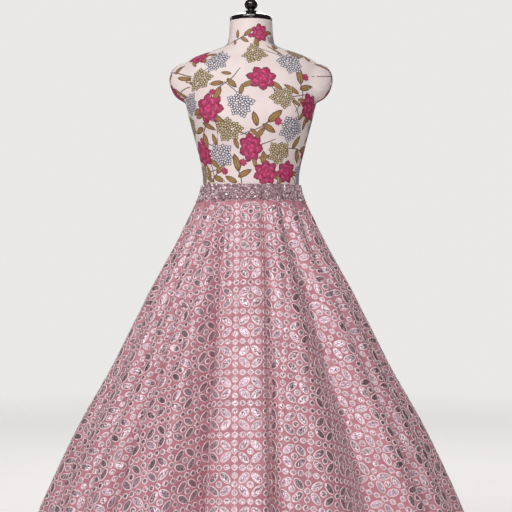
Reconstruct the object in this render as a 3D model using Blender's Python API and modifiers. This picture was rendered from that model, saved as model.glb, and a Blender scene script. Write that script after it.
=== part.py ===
"""A lehenga skirt standing on a limbless dress form, at its real size.

Metres, +Z up. The front of the skirt faces -Y and +X is on the viewer's right. The origin is the
middle of the stand's underside, on the floor.

The skirt is cut as a front and a back, two flat fans of cloth that are sewn at the sides and
gathered into a waistband. Below the band it falls over a flare in long flutes. Each ring of the
cloth is an oval, given by a row of SECTIONS, that is sunk between the flutes of the table FLUTES.
"""
import math
from collections import namedtuple

import bmesh
import bpy
import numpy as np

# Heights above the floor
BAND_TOP = 1.080
BAND_HEIGHT = 0.040
HEM_HEIGHT = 0.018
NECK_TOP = 1.5155
FORM_BOTTOM = 0.760

# Thickness of the cloth walls, the gap between pieces that touch, and the band's from the form
SKIRT_WALL = 0.0025
BAND_WALL = 0.0040
SEAM_GAP = 0.0003
BAND_EASE = 0.00045

# Stand
POLE_RADIUS = 0.0125
BASE_RADIUS = 0.190
BASE_HEIGHT = 0.014
BASE_RIM_HEIGHT = 0.008
BASE_EDGE_ROUND = 0.003
BASE_BOSS_RADIUS = 0.0375

# How finely the rings are drawn
STEPS_PER_KNOT = 3
FORM_POINTS_AROUND = 44
BAND_POINTS_AROUND = 72
TURNED_STEPS = 48
POLE_SIDES = 32
MERGE_DISTANCE = 0.0001

# A section of the skirt: its depth below the band's top, the half width and half depth of the oval
# that its flutes reach, and how far a valley of depth 1 is sunk behind them
Section = namedtuple("Section", "drop half_width half_depth fold_depth")
SECTIONS = [
    Section(BAND_HEIGHT + SEAM_GAP, 0.1440, 0.1142, 0.0024),
    Section(0.085, 0.1665, 0.1370, 0.0078),
    Section(0.147, 0.1965, 0.1660, 0.0130),
    Section(0.231, 0.2430, 0.2110, 0.0180),
    Section(0.350, 0.3080, 0.2740, 0.0260),
    Section(0.477, 0.3720, 0.3360, 0.0345),
    Section(0.620, 0.4530, 0.4140, 0.0430),
    Section(0.753, 0.5180, 0.4780, 0.0530),
    Section(0.890, 0.5780, 0.5360, 0.0650),
    Section(BAND_TOP - HEM_HEIGHT, 0.6400, 0.5980, 0.0790),
]

# A flute: the azimuths of its two shoulders and of the valley to its right, in degrees round from
# the front, at the hem and at the band, and how deep that valley is
Flute = namedtuple("Flute", "left right valley band_left band_right band_valley deep")
FLUTES = [
    Flute(-84.0, -74.0, -69.5, -84.0, -75.0, -70.5, 0.75),
    Flute(-65.0, -56.0, -52.0, -66.0, -59.0, -54.5, 0.60),
    Flute(-49.0, -42.5, -39.0, -50.5, -44.0, -40.0, 0.65),
    Flute(-36.0, -26.5, -11.8, -37.0, -33.0, -28.5, 1.75),
    Flute(-11.4, 3.4, 4.8, -26.5, 10.0, 13.0, 0.80),
    Flute(7.4, 24.2, 25.4, 17.0, 25.0, 28.0, 1.35),
    Flute(34.0, 47.0, 55.5, 33.0, 45.0, 51.5, 1.00),
    Flute(60.5, 69.0, 73.0, 56.0, 66.5, 71.0, 0.60),
    Flute(77.0, 85.0, 90.0, 75.5, 85.0, 90.0, 0.70),
    Flute(95.0, 106.0, 110.5, 95.0, 105.0, 109.5, 0.80),
    Flute(115.0, 127.0, 133.5, 114.0, 126.0, 131.5, 1.10),
    Flute(138.5, 150.0, 154.0, 137.0, 148.5, 153.0, 0.70),
    Flute(158.5, 172.0, 177.5, 158.0, 170.0, 175.0, 1.00),
    Flute(182.0, 195.0, 199.5, 180.5, 193.5, 198.5, 0.75),
    Flute(204.0, 214.0, 221.5, 204.0, 215.0, 220.5, 1.10),
    Flute(227.0, 238.0, 242.5, 225.5, 238.0, 243.0, 0.80),
    Flute(247.0, 263.0, 270.0, 248.0, 264.0, 270.0, 0.80),
]
SHOULDER_SINK = 0.16
KNOTS_PER_FLUTE = 4
FLUTES_IN_FRONT = 9

# A ring of the dress form: height, half width, half depth, how far its middle lies behind the
# pole, and how square it is (2 is an ellipse)
Ring = namedtuple("Ring", "height half_width half_depth middle_y squareness")
FORM_RINGS = [
    Ring(FORM_BOTTOM, 0.1600, 0.1180, 0.006, 2.2),
    Ring(FORM_BOTTOM + 0.008, 0.1660, 0.1240, 0.006, 2.2),
    Ring(0.820, 0.1715, 0.1290, 0.007, 2.2),
    Ring(0.880, 0.1710, 0.1290, 0.007, 2.2),
    Ring(0.940, 0.1630, 0.1230, 0.005, 2.1),
    Ring(0.990, 0.1520, 0.1150, 0.003, 2.1),
    Ring(BAND_TOP - BAND_HEIGHT, 0.1377, 0.1060, 0.000, 2.0),
    Ring(1.062, 0.1305, 0.1010, 0.000, 2.0),
    Ring(BAND_TOP, 0.1268, 0.0985, 0.000, 2.0),
    Ring(1.100, 0.1262, 0.0985, -0.001, 2.0),
    Ring(1.130, 0.1305, 0.1005, -0.004, 2.0),
    Ring(1.170, 0.1400, 0.1050, -0.009, 2.1),
    Ring(1.210, 0.1500, 0.1100, -0.014, 2.1),
    Ring(1.250, 0.1605, 0.1140, -0.017, 2.2),
    Ring(1.285, 0.1690, 0.1135, -0.015, 2.2),
    Ring(1.302, 0.1730, 0.1110, -0.012, 2.2),
    Ring(1.310, 0.1745, 0.1095, -0.011, 2.2),
    Ring(1.324, 0.1765, 0.1065, -0.008, 2.2),
    Ring(1.340, 0.1790, 0.1025, -0.005, 2.2),
    Ring(1.357, 0.1815, 0.0980, -0.001, 2.2),
    Ring(1.374, 0.1830, 0.0930, 0.003, 2.2),
    Ring(1.390, 0.1820, 0.0880, 0.006, 2.1),
    Ring(1.404, 0.1760, 0.0830, 0.008, 2.1),
    Ring(1.418, 0.1560, 0.0770, 0.010, 2.0),
    Ring(1.432, 0.1190, 0.0710, 0.011, 2.0),
    Ring(1.446, 0.0850, 0.0645, 0.010, 2.0),
    Ring(1.462, 0.0680, 0.0590, 0.009, 2.0),
    Ring(1.485, 0.0590, 0.0560, 0.007, 2.0),
    Ring(NECK_TOP, 0.0560, 0.0555, 0.005, 2.0),
]

# The bust of the form, a soft rise on each side of the front
BUST_HEIGHT = 1.262
BUST_AZIMUTH = 33.0
BUST_RISE = 0.014
BUST_SPREAD_UP = 0.048
BUST_SPREAD_AROUND = 22.0

# The padded end of each shoulder, an oval dome on the side of the form
ARM_END_HEIGHT = 1.353
ARM_END_HALF_HEIGHT = 0.052
ARM_END_HALF_ANGLE = 33.0
ARM_END_RISE = 0.034
ARM_END_ROUNDNESS = 0.55

# The neck cap is turned: radius and height above the neck's top, from the tip down its outer side
CAP_RADIUS = 0.0560
FINIAL_RADIUS = 0.0177
Turning = namedtuple("Turning", "radius rise")
CAP_TURNING = [
    Turning(0.0000, 0.0675),
    Turning(0.0035, 0.0665),
    Turning(0.0050, 0.0635),
    Turning(0.0055, 0.0600),
    Turning(0.0110, 0.0580),
    Turning(0.0157, 0.0530),
    Turning(FINIAL_RADIUS, 0.0460),
    Turning(0.0160, 0.0390),
    Turning(0.0115, 0.0340),
    Turning(0.0095, 0.0310),
    Turning(0.0120, 0.0285),
    Turning(0.0235, 0.0265),
    Turning(0.0260, 0.0240),
    Turning(0.0300, 0.0215),
    Turning(0.0420, 0.0165),
    Turning(0.0535, 0.0125),
    Turning(CAP_RADIUS, 0.0100),
    Turning(CAP_RADIUS, 0.0015),
    Turning(0.0545, 0.0000),
    Turning(0.0000, 0.0000),
]

# Colours, roughness and metallic value of each finish
Finish = namedtuple("Finish", "colour roughness metallic")
FINISHES = {
    "skirt_cloth": Finish((0.56, 0.23, 0.29), 0.60, 0.0),
    "band_cloth": Finish((0.36, 0.25, 0.31), 0.50, 0.0),
    "form_cover": Finish((0.80, 0.68, 0.62), 0.80, 0.0),
    "black_gloss": Finish((0.010, 0.010, 0.011), 0.15, 0.0),
    "stand_steel": Finish((0.020, 0.020, 0.022), 0.35, 0.6),
}


def clear_scene():
    """Remove every object, so that the model starts empty."""
    for thing in list(bpy.data.objects):
        bpy.data.objects.remove(thing, do_unlink=True)


def make_finishes():
    """One Principled material for each finish."""
    materials = {}
    for name, finish in FINISHES.items():
        material = bpy.data.materials.new(name)
        material.use_nodes = True
        shader = material.node_tree.nodes["Principled BSDF"]
        shader.inputs["Base Color"].default_value = (*finish.colour, 1.0)
        shader.inputs["Roughness"].default_value = finish.roughness
        shader.inputs["Metallic"].default_value = finish.metallic
        materials[name] = material
    return materials


def add_object(name, mesh, material, collection):
    """Put a mesh into the collection as a named, smooth-shaded object."""
    mesh.materials.append(material)
    mesh.shade_smooth()
    thing = bpy.data.objects.new(name, mesh)
    collection.objects.link(thing)
    return thing


def lofted_mesh(name, points, closed, capped=False):
    """A mesh through rings of points, an array of rings x points x 3, from the top ring down.

    Seen from outside, the points of a ring run to the right, so the faces look outwards.
    """
    rings, around, _ = points.shape
    faces = []
    for ring in range(rings - 1):
        for point in range(around if closed else around - 1):
            following = (point + 1) % around
            upper, lower = ring * around, (ring + 1) * around
            faces.append((upper + point, lower + point, lower + following, upper + following))
    if capped:
        faces.append(tuple(range(around)))
        faces.append(tuple(reversed(range((rings - 1) * around, rings * around))))
    mesh = bpy.data.meshes.new(name)
    mesh.from_pydata(points.reshape(-1, 3).tolist(), [], faces)
    return mesh


def add_wall(thing, thickness, inwards):
    """Turn an open surface into a closed wall, growing inwards or outwards from it."""
    wall = thing.modifiers.new("wall", "SOLIDIFY")
    wall.thickness = thickness
    wall.offset = -1.0 if inwards else 1.0
    wall.use_even_offset = True


def smooth_through(knots, steps):
    """Points on a Catmull-Rom curve through the knots, which close on themselves.

    Each step blends the four knots around it with the curve's cubic weights.
    """
    before, here = np.roll(knots, 1, axis=0), knots
    after, beyond = np.roll(knots, -1, axis=0), np.roll(knots, -2, axis=0)
    pieces = []
    for step in range(steps):
        t = step / steps
        pieces.append(0.5 * (2 * here + (after - before) * t
                             + (2 * before - 5 * here + 4 * after - beyond) * t ** 2
                             + (3 * here - before - 3 * after + beyond) * t ** 3))
    return np.stack(pieces, axis=1).reshape(-1, *knots.shape[1:])


def band_share(section):
    """How much a fold still lies where it left the band: 1 at the band, 0 at the hem.

    A fold falls straight down from the band, so it moves round as one over the ring's width.
    """
    band, hem = SECTIONS[0].half_width, SECTIONS[-1].half_width
    return (1 / section.half_width - 1 / hem) / (1 / band - 1 / hem)


def skirt_ring(section):
    """The outer points of the skirt at one section, all the way round from the left side seam."""
    share = band_share(section)
    knots = []
    for flute in FLUTES:
        left = flute.left + (flute.band_left - flute.left) * share
        right = flute.right + (flute.band_right - flute.right) * share
        valley = flute.valley + (flute.band_valley - flute.valley) * share
        knots += [(left, SHOULDER_SINK), ((left + right) / 2, 0.0),
                  (right, SHOULDER_SINK), (valley, flute.deep)]
    directions = np.array([(math.cos(math.radians(azimuth)), math.sin(math.radians(azimuth)), sink)
                           for azimuth, sink in knots])
    cosine, sine, sink = smooth_through(directions, STEPS_PER_KNOT).T
    azimuth = np.arctan2(sine, cosine)
    fold = section.fold_depth * sink
    x = (section.half_width - fold) * np.sin(azimuth)
    y = -(section.half_depth - fold) * np.cos(azimuth)
    z = np.full_like(x, BAND_TOP - section.drop)
    return np.roll(np.stack([x, y, z], axis=1), STEPS_PER_KNOT, axis=0)


def build_skirt(materials, collection):
    """The front and the back of the skirt, each a wall of cloth that ends at the side seams."""
    rings = np.stack([skirt_ring(section) for section in SECTIONS])
    right_seam = FLUTES_IN_FRONT * KNOTS_PER_FLUTE * STEPS_PER_KNOT
    front = np.arange(right_seam + 1)
    back = np.append(np.arange(right_seam, rings.shape[1]), 0)
    for name, columns, side in (("skirt_front", front, -1), ("skirt_back", back, 1)):
        points = rings[:, columns].copy()
        points[:, 0, 1] = side * SEAM_GAP / 2
        points[:, -1, 1] = side * SEAM_GAP / 2
        thing = add_object(name, lofted_mesh(name, points, closed=False),
                           materials["skirt_cloth"], collection)
        add_wall(thing, SKIRT_WALL, inwards=True)


def oval(ring, azimuth):
    """A ring of the form: a superellipse, with the bust and the ends of the shoulders added."""
    power = 2 / ring.squareness
    across = np.sign(np.sin(azimuth)) * np.abs(np.sin(azimuth)) ** power
    along = np.sign(np.cos(azimuth)) * np.abs(np.cos(azimuth)) ** power
    side = (np.degrees(np.abs(azimuth)) - BUST_AZIMUTH) / BUST_SPREAD_AROUND
    level = (ring.height - BUST_HEIGHT) / BUST_SPREAD_UP
    rise = BUST_RISE * np.exp(-side ** 2 - level ** 2)
    end_side = (np.degrees(np.abs(azimuth)) - 90) / ARM_END_HALF_ANGLE
    end_level = (ring.height - ARM_END_HEIGHT) / ARM_END_HALF_HEIGHT
    dome = np.maximum(0, 1 - end_side ** 2 - end_level ** 2) ** ARM_END_ROUNDNESS
    x = (ring.half_width + rise + ARM_END_RISE * dome) * across
    y = ring.middle_y - (ring.half_depth + rise) * along
    return np.stack([x, y, np.full_like(x, ring.height)], axis=1)


def build_form(materials, collection):
    """The limbless form: a closed solid through its rings, from the neck down to the hips."""
    azimuth = np.linspace(-math.pi, math.pi, FORM_POINTS_AROUND, endpoint=False)
    rings = np.stack([oval(ring, azimuth) for ring in reversed(FORM_RINGS)])
    mesh = lofted_mesh("dress_form", rings, closed=True, capped=True)
    add_object("dress_form", mesh, materials["form_cover"], collection)


def build_waistband(materials, collection):
    """A strip of stiffened cloth round the waist, whose ends meet at the middle of the back."""
    behind = [ring for ring in reversed(FORM_RINGS)
              if BAND_TOP - BAND_HEIGHT <= ring.height <= BAND_TOP]
    half_gap = SEAM_GAP / 2 / behind[0].half_depth
    azimuth = np.linspace(-math.pi + half_gap, math.pi - half_gap, BAND_POINTS_AROUND)
    rings = np.stack([oval(ring, azimuth) for ring in behind])
    outwards = rings * np.array([1.0, 1.0, 0.0])
    outwards /= np.linalg.norm(outwards, axis=2, keepdims=True)
    rings += outwards * BAND_EASE
    mesh = lofted_mesh("waistband", rings, closed=False)
    thing = add_object("waistband", mesh, materials["band_cloth"], collection)
    add_wall(thing, BAND_WALL, inwards=False)


def build_turned(name, profile, bottom, material, collection):
    """A turned solid: the profile, from its top down its outer side, spun round the Z axis."""
    mesh = bpy.data.meshes.new(name)
    corners = [(point.radius, 0.0, bottom + point.rise) for point in profile]
    mesh.from_pydata(corners, [(i, i + 1) for i in range(len(corners) - 1)], [])
    thing = add_object(name, mesh, material, collection)
    screw = thing.modifiers.new("turned", "SCREW")
    screw.steps = TURNED_STEPS
    screw.render_steps = TURNED_STEPS
    screw.use_merge_vertices = True
    screw.merge_threshold = MERGE_DISTANCE
    return thing


def build_stand(materials, collection):
    """A round steel pole under the form, on a flat round base."""
    base_turning = [
        Turning(0.0, BASE_HEIGHT),
        Turning(BASE_BOSS_RADIUS, BASE_HEIGHT),
        Turning(BASE_RADIUS - BASE_EDGE_ROUND, BASE_RIM_HEIGHT),
        Turning(BASE_RADIUS, BASE_RIM_HEIGHT - BASE_EDGE_ROUND),
        Turning(BASE_RADIUS, 0.0),
        Turning(0.0, 0.0),
    ]
    build_turned("stand_base", base_turning, 0.0, materials["stand_steel"], collection)
    bottom = BASE_HEIGHT + SEAM_GAP
    top = FORM_BOTTOM - SEAM_GAP
    mesh = bpy.data.meshes.new("stand_pole")
    shape = bmesh.new()
    bmesh.ops.create_cone(shape, cap_ends=True, segments=POLE_SIDES, radius1=POLE_RADIUS,
                          radius2=POLE_RADIUS, depth=top - bottom)
    shape.to_mesh(mesh)
    shape.free()
    pole = add_object("stand_pole", mesh, materials["stand_steel"], collection)
    pole.location.z = (top + bottom) / 2


def build():
    """The whole part."""
    clear_scene()
    materials = make_finishes()
    collection = bpy.data.collections.new("lehenga_skirt_on_dress_form")
    bpy.context.scene.collection.children.link(collection)
    build_skirt(materials, collection)
    build_waistband(materials, collection)
    build_form(materials, collection)
    cap = build_turned("neck_cap", CAP_TURNING, NECK_TOP + SEAM_GAP,
                       materials["black_gloss"], collection)
    cap.location.y = FORM_RINGS[-1].middle_y
    build_stand(materials, collection)


build()
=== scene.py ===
# %% [markdown]
# # A mirror-work lehenga skirt on a dress form
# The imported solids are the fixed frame: they say where every piece is and how large it may be.
# This notebook dresses them. Each piece is worked out as a surface with numpy and then put into a
# Blender mesh, so that the same few formulas give the cloth, the foils sewn on it and the beads.

# %% Load the frame
import math
from collections import namedtuple
import bpy
import numpy as np
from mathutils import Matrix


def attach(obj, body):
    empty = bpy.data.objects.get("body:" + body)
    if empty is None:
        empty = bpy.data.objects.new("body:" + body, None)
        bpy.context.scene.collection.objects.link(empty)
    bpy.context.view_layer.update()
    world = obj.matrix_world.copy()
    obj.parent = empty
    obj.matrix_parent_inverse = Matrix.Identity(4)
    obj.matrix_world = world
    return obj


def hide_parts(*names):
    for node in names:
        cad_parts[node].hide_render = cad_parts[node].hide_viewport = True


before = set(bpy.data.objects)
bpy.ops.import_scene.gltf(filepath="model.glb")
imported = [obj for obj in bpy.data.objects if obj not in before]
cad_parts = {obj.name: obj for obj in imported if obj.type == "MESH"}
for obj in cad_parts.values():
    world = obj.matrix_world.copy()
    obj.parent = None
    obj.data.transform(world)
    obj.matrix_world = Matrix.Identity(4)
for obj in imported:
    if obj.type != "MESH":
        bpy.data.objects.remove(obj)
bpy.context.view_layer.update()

scene = bpy.context.scene
print("solids:", sorted(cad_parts))

# %% [markdown]
# ## The camera
# The photograph was taken from straight ahead with a long lens, at the height of the hips. The lens
# is worked out from the distance and from how many metres a pixel covers at the stand's axis. The
# form stands a little left of the middle, so the camera is moved to the right instead of turned.

# %% Camera
IMAGE_WIDTH = 512
SENSOR_WIDTH = 36.0
CAMERA_DISTANCE = 3.5
CAMERA_HEIGHT = 0.894
METRES_PER_PIXEL = 0.00265
AXIS_PIXEL = 251.0
camera_data = bpy.data.cameras.new("camera")
camera_data.sensor_width = SENSOR_WIDTH
camera_data.sensor_fit = "HORIZONTAL"
camera_data.lens = CAMERA_DISTANCE / METRES_PER_PIXEL / IMAGE_WIDTH * SENSOR_WIDTH
camera = bpy.data.objects.new("camera", camera_data)
camera.location = ((IMAGE_WIDTH / 2 - AXIS_PIXEL) * METRES_PER_PIXEL, -CAMERA_DISTANCE, CAMERA_HEIGHT)
camera.rotation_euler = (math.radians(90), 0, 0)
scene.collection.objects.link(camera)
scene.camera = camera
print("lens", round(camera_data.lens, 1), "mm")

# %% [markdown]
# ## Putting a surface into a mesh
# A surface here is an array of points in rows and columns. Neighbouring points make a four-sided
# face. One helper numbers those faces for any grid, and another writes the arrays straight into a
# mesh with foreach_set, which is far quicker than adding points one by one.

# %% Mesh helpers
def around_circle(count):
    """So many angles, evenly spread round a full turn."""
    return np.arange(count) / count * 2 * np.pi


def unit(vectors):
    """The vectors divided by their own lengths."""
    return vectors / np.linalg.norm(vectors, axis=-1, keepdims=True)


def grid_faces(rows, columns, closed=False):
    """The faces of a grid: each joins a point to the next column and the next row, in that order.

    With closed, the last column is joined to the first.
    """
    row, column = np.meshgrid(np.arange(rows - 1), np.arange(columns if closed else columns - 1),
                              indexing="ij")
    following = (column + 1) % columns
    return np.stack([row * columns + column, (row + 1) * columns + column,
                     (row + 1) * columns + following, row * columns + following], -1).reshape(-1, 4)


def fan_faces(ring, middle):
    """Triangles from a middle point to every step of a closed ring of points."""
    return np.stack([np.full(len(ring), middle), ring, np.roll(ring, -1)], -1)


def capped_faces(rows, columns):
    """The faces of a stack of closed rings, and of the two points after them that close its ends."""
    ring = np.arange(columns)
    return [grid_faces(rows, columns, closed=True), fan_faces(ring, rows * columns),
            fan_faces(ring + (rows - 1) * columns, rows * columns + 1)[:, ::-1]]


def copied_faces(faces, copies, points):
    """The faces of one shape of so many points, numbered for many copies of it."""
    return (faces[None] + (np.arange(copies) * points)[:, None, None]).reshape(-1, faces.shape[1])


def make_piece(name, points, face_lists, material, smooth=True):
    """A mesh object at the origin from points and arrays of faces with 3 or 4 corners each."""
    points = points.reshape(-1, 3)
    corners = np.concatenate([faces.ravel() for faces in face_lists])
    sizes = np.concatenate([np.full(len(faces), faces.shape[1]) for faces in face_lists])
    mesh = bpy.data.meshes.new(name)
    mesh.vertices.add(len(points))
    mesh.vertices.foreach_set("co", points.ravel().astype(np.float32))
    mesh.loops.add(len(corners))
    mesh.loops.foreach_set("vertex_index", corners.astype(np.int32))
    mesh.polygons.add(len(sizes))
    mesh.polygons.foreach_set("loop_start", (np.cumsum(sizes) - sizes).astype(np.int32))
    mesh.polygons.foreach_set("use_smooth", np.full(len(sizes), smooth))
    mesh.update(calc_edges=True)
    mesh.validate()
    mesh.materials.append(material)
    piece = bpy.data.objects.new(name, mesh)
    scene.collection.objects.link(piece)
    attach(piece, "root")
    print(f"{name}: {len(points)} points, {(sizes - 2).sum()} triangles")
    return piece


def add_point_values(piece, name, values):
    """Store a number (or a colour of 4 numbers) for each point, for the material to read."""
    kind, field = ("FLOAT_COLOR", "color") if values.ndim == 2 else ("FLOAT", "value")
    attribute = piece.data.attributes.new(name, kind, "POINT")
    attribute.data.foreach_set(field, values.ravel().astype(np.float32))


def add_flat_map(piece, flat):
    """Give each face corner the place of its point on the flat cut cloth, in metres, as its UV."""
    corner_point = np.empty(len(piece.data.loops), dtype=np.int32)
    piece.data.loops.foreach_get("vertex_index", corner_point)
    layer = piece.data.uv_layers.new(name="flat_cloth")
    layer.data.foreach_set("uv", flat.reshape(-1, 2)[corner_point].ravel().astype(np.float32))


def smooth_table(table, at):
    """Each column of a table as a smooth curve over its first column, read at the places given.

    Between two rows it is the cubic that meets both values with the slope of their neighbours.
    """
    at = np.asarray(at, dtype=float)
    place, values = table[:, 0], table[:, 1:]
    slope = np.gradient(values, place, axis=0)
    row = np.clip(np.searchsorted(place, at, side="right") - 1, 0, len(place) - 2)
    span = (place[row + 1] - place[row])[..., None]
    t = (at - place[row])[..., None] / span
    return ((2 * t ** 3 - 3 * t ** 2 + 1) * values[row] + (t ** 3 - 2 * t ** 2 + t) * span * slope[row]
            + (3 * t ** 2 - 2 * t ** 3) * values[row + 1] + (t ** 3 - t ** 2) * span * slope[row + 1])


def smooth_step(value, start, end):
    """0 before start, 1 after end, and a soft S between them."""
    t = np.clip((value - start) / (end - start), 0, 1)
    return t * t * (3 - 2 * t)

# %% [markdown]
# ## The fall of the skirt
# The skirt is two flat fans of cloth, a front and a back, gathered into a waistband and pushed out
# by a flare. Cloth simulation could drape it, but the photograph fixes where each flute hangs, so
# the drape is written down: a table of sections gives the oval that the flutes reach at each depth,
# and a table of flutes says where each one stands. A curve runs through the shoulders, the crest
# and the valley of every flute, as on the solids, only finer.

# %% Skirt tables
BAND_TOP = 1.080
BAND_HEIGHT = 0.040
SEAM_GAP = 0.0003
HEM_HEIGHT = 0.018
SKIRT_DROP = BAND_TOP - HEM_HEIGHT

# Columns: depth below the band's top, half width, half depth, depth of a valley of 1
SECTIONS = np.array([
    (BAND_HEIGHT + SEAM_GAP, 0.1440, 0.1142, 0.0024),
    (0.085, 0.1665, 0.1370, 0.0078),
    (0.147, 0.1965, 0.1660, 0.0130),
    (0.231, 0.2430, 0.2110, 0.0180),
    (0.350, 0.3080, 0.2740, 0.0260),
    (0.477, 0.3720, 0.3360, 0.0345),
    (0.620, 0.4530, 0.4140, 0.0430),
    (0.753, 0.5180, 0.4780, 0.0530),
    (0.890, 0.5780, 0.5360, 0.0650),
    (SKIRT_DROP, 0.6400, 0.5980, 0.0790),
])
# Columns: azimuths of the left shoulder, right shoulder and valley, in degrees from the front, at
# the hem and then at the band, and how deep that valley is
FLUTES = np.array([
    (-84, -74, -69.5, -84, -75, -70.5, 0.9),
    (-65, -56, -52, -66, -59, -54.5, 0.95),
    (-49, -42.5, -39, -50.5, -44, -40, 0.95),
    (-36, -20.8, -12.9, -37, -33, -28.5, 1.75),
    (-11.2, 3.4, 5.6, -26.5, 10, 13.2, 1.05),
    (8.4, 24.2, 38.2, 17, 25, 31.8, 1.42),
    (46, 51.5, 56.8, 38, 45.5, 51.5, 1),
    (60.5, 69, 73, 56, 66.5, 71, 0.9),
    (77, 85, 90, 75.5, 85, 90, 0.7),
    (95, 106, 110.5, 95, 105, 109.5, 0.8),
    (115, 127, 133.5, 114, 126, 131.5, 1.1),
    (138.5, 150, 154, 137, 148.5, 153, 0.7),
    (158.5, 172, 177.5, 158, 170, 175, 1),
    (182, 195, 199.5, 180.5, 193.5, 198.5, 0.75),
    (204, 214, 221.5, 204, 215, 220.5, 1.1),
    (227, 238, 242.5, 225.5, 238, 243, 0.8),
    (247, 263, 270, 248, 264, 270, 0.8),
])
SHOULDER_SINK = 0.16
# Two flutes in front stand otherwise: the sinks of the left shoulder, the crest and the right one
OTHER_SINKS = {3: (-0.15, -0.20, -0.05), 4: (0.75, 0.25, 0.25)}
KNOTS_PER_FLUTE = 4
FLUTES_IN_FRONT = 9
print(len(SECTIONS), "sections and", len(FLUTES), "flutes")

# %% [markdown]
# Between the flutes the cloth has finer creases: short gathers under the band and long soft folds
# that fade out. They are a table too. Each is a soft trough or ridge whose
# cross-section is a bell curve, and it begins and ends gently.

# %% Fine creases
# Columns: azimuth at the band and at the hem in degrees; then, in millimetres, where it starts and
# ends below the band's top, its width, and its depth (a trough is negative)
CREASES = np.array([
    (-81, -80, 300, 1000, 16, -4), (-74, -73, 40, 400, 6, -2.2), (-67, -62, 50, 750, 12, -4),
    (-60, -59.5, 350, 1060, 18, -5), (-47, -45.8, 40, 550, 8, -2.8), (-44, -33, 450, 1060, 22, -6),
    (-36, -31.5, 40, 620, 9, -3.4), (-33, -23, 300, 1060, 20, 7), (-31, -19, 350, 1060, 16, -7),
    (-24, -9, 30, 300, 5.5, -3.6), (-17.5, -6.5, 30, 200, 4.5, -2.8), (-11.5, -5.5, 40, 400, 8, -3.4),
    (-5, -2.5, 30, 240, 5.5, 2.6), (-1, -3.8, 350, 1060, 26, -4.5), (2, 0.8, 30, 300, 5.5, -3.6),
    (6.8, 2.2, 30, 180, 4.5, 2.4), (15, 11.5, 50, 600, 8, -3.2), (19.5, 15, 300, 1060, 26, -5),
    (18.5, 13.5, 30, 260, 5.5, -3.4), (22, 19.5, 40, 300, 6, -2.6), (31, 31, 40, 500, 7, -3),
    (35, 38.5, 280, 1060, 18, -5.5), (38.5, 42, 40, 260, 6, -2.2), (43, 44, 180, 800, 13, -4.5),
    (48, 51, 220, 1060, 18, 6), (60, 64.5, 300, 1060, 16, -5), (69, 70.5, 40, 600, 8, -3),
    (79, 80.5, 300, 1060, 18, -5), (84, 86, 50, 300, 6, -2.4), (99, 100.5, 250, 1060, 22, -5.5),
    (107, 108, 40, 350, 7, -2.6), (119.5, 121, 50, 700, 14, -4.4), (129, 130, 350, 1060, 20, 6),
    (142, 144, 200, 1060, 22, -5), (151.5, 152, 40, 300, 6, -2.6), (162, 165, 40, 550, 10, -3.6),
    (167, 167.5, 400, 1060, 22, -5.5), (186, 188.5, 200, 1060, 22, -5), (196, 196.5, 40, 320, 7, -2.6),
    (209, 209, 300, 1060, 22, -6), (217.5, 218, 40, 600, 10, -3.4), (231.5, 232.5, 200, 1060, 20, -5),
    (240, 240.5, 40, 340, 7, -2.6), (254, 255, 250, 1060, 24, -6), (260, 259.5, 40, 450, 8, -3),
]) / [1, 1, 1000, 1000, 1000, 1000]
CREASE_FADE = 0.05
print(len(CREASES), "creases")


def band_share(half_width):
    """How much a fold still lies where it left the band: 1 there, 0 at the hem.

    A fold falls straight down, so it moves round as one over the width of the ring.
    """
    band, hem = SECTIONS[0, 1], SECTIONS[-1, 1]
    return (1 / half_width - 1 / hem) / (1 / band - 1 / hem)


def crease_depth(azimuth, drop, share, half_width):
    """The sum of the creases: depth x bell curve across x soft start and end along the drop."""
    total = np.zeros_like(azimuth)
    for band_azimuth, hem_azimuth, start, end, width, depth in CREASES:
        middle = np.radians(hem_azimuth + (band_azimuth - hem_azimuth) * share)[:, None]
        turn = np.angle(np.exp(1j * (azimuth - middle)))
        across = np.exp(-(turn * half_width[:, None] / width) ** 2)
        along = (smooth_step(drop, start - CREASE_FADE / 2, start + CREASE_FADE)
                 * (1 - smooth_step(drop, end - CREASE_FADE, end + CREASE_FADE / 2)))
        total += depth * across * along[:, None]
    return total


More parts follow.
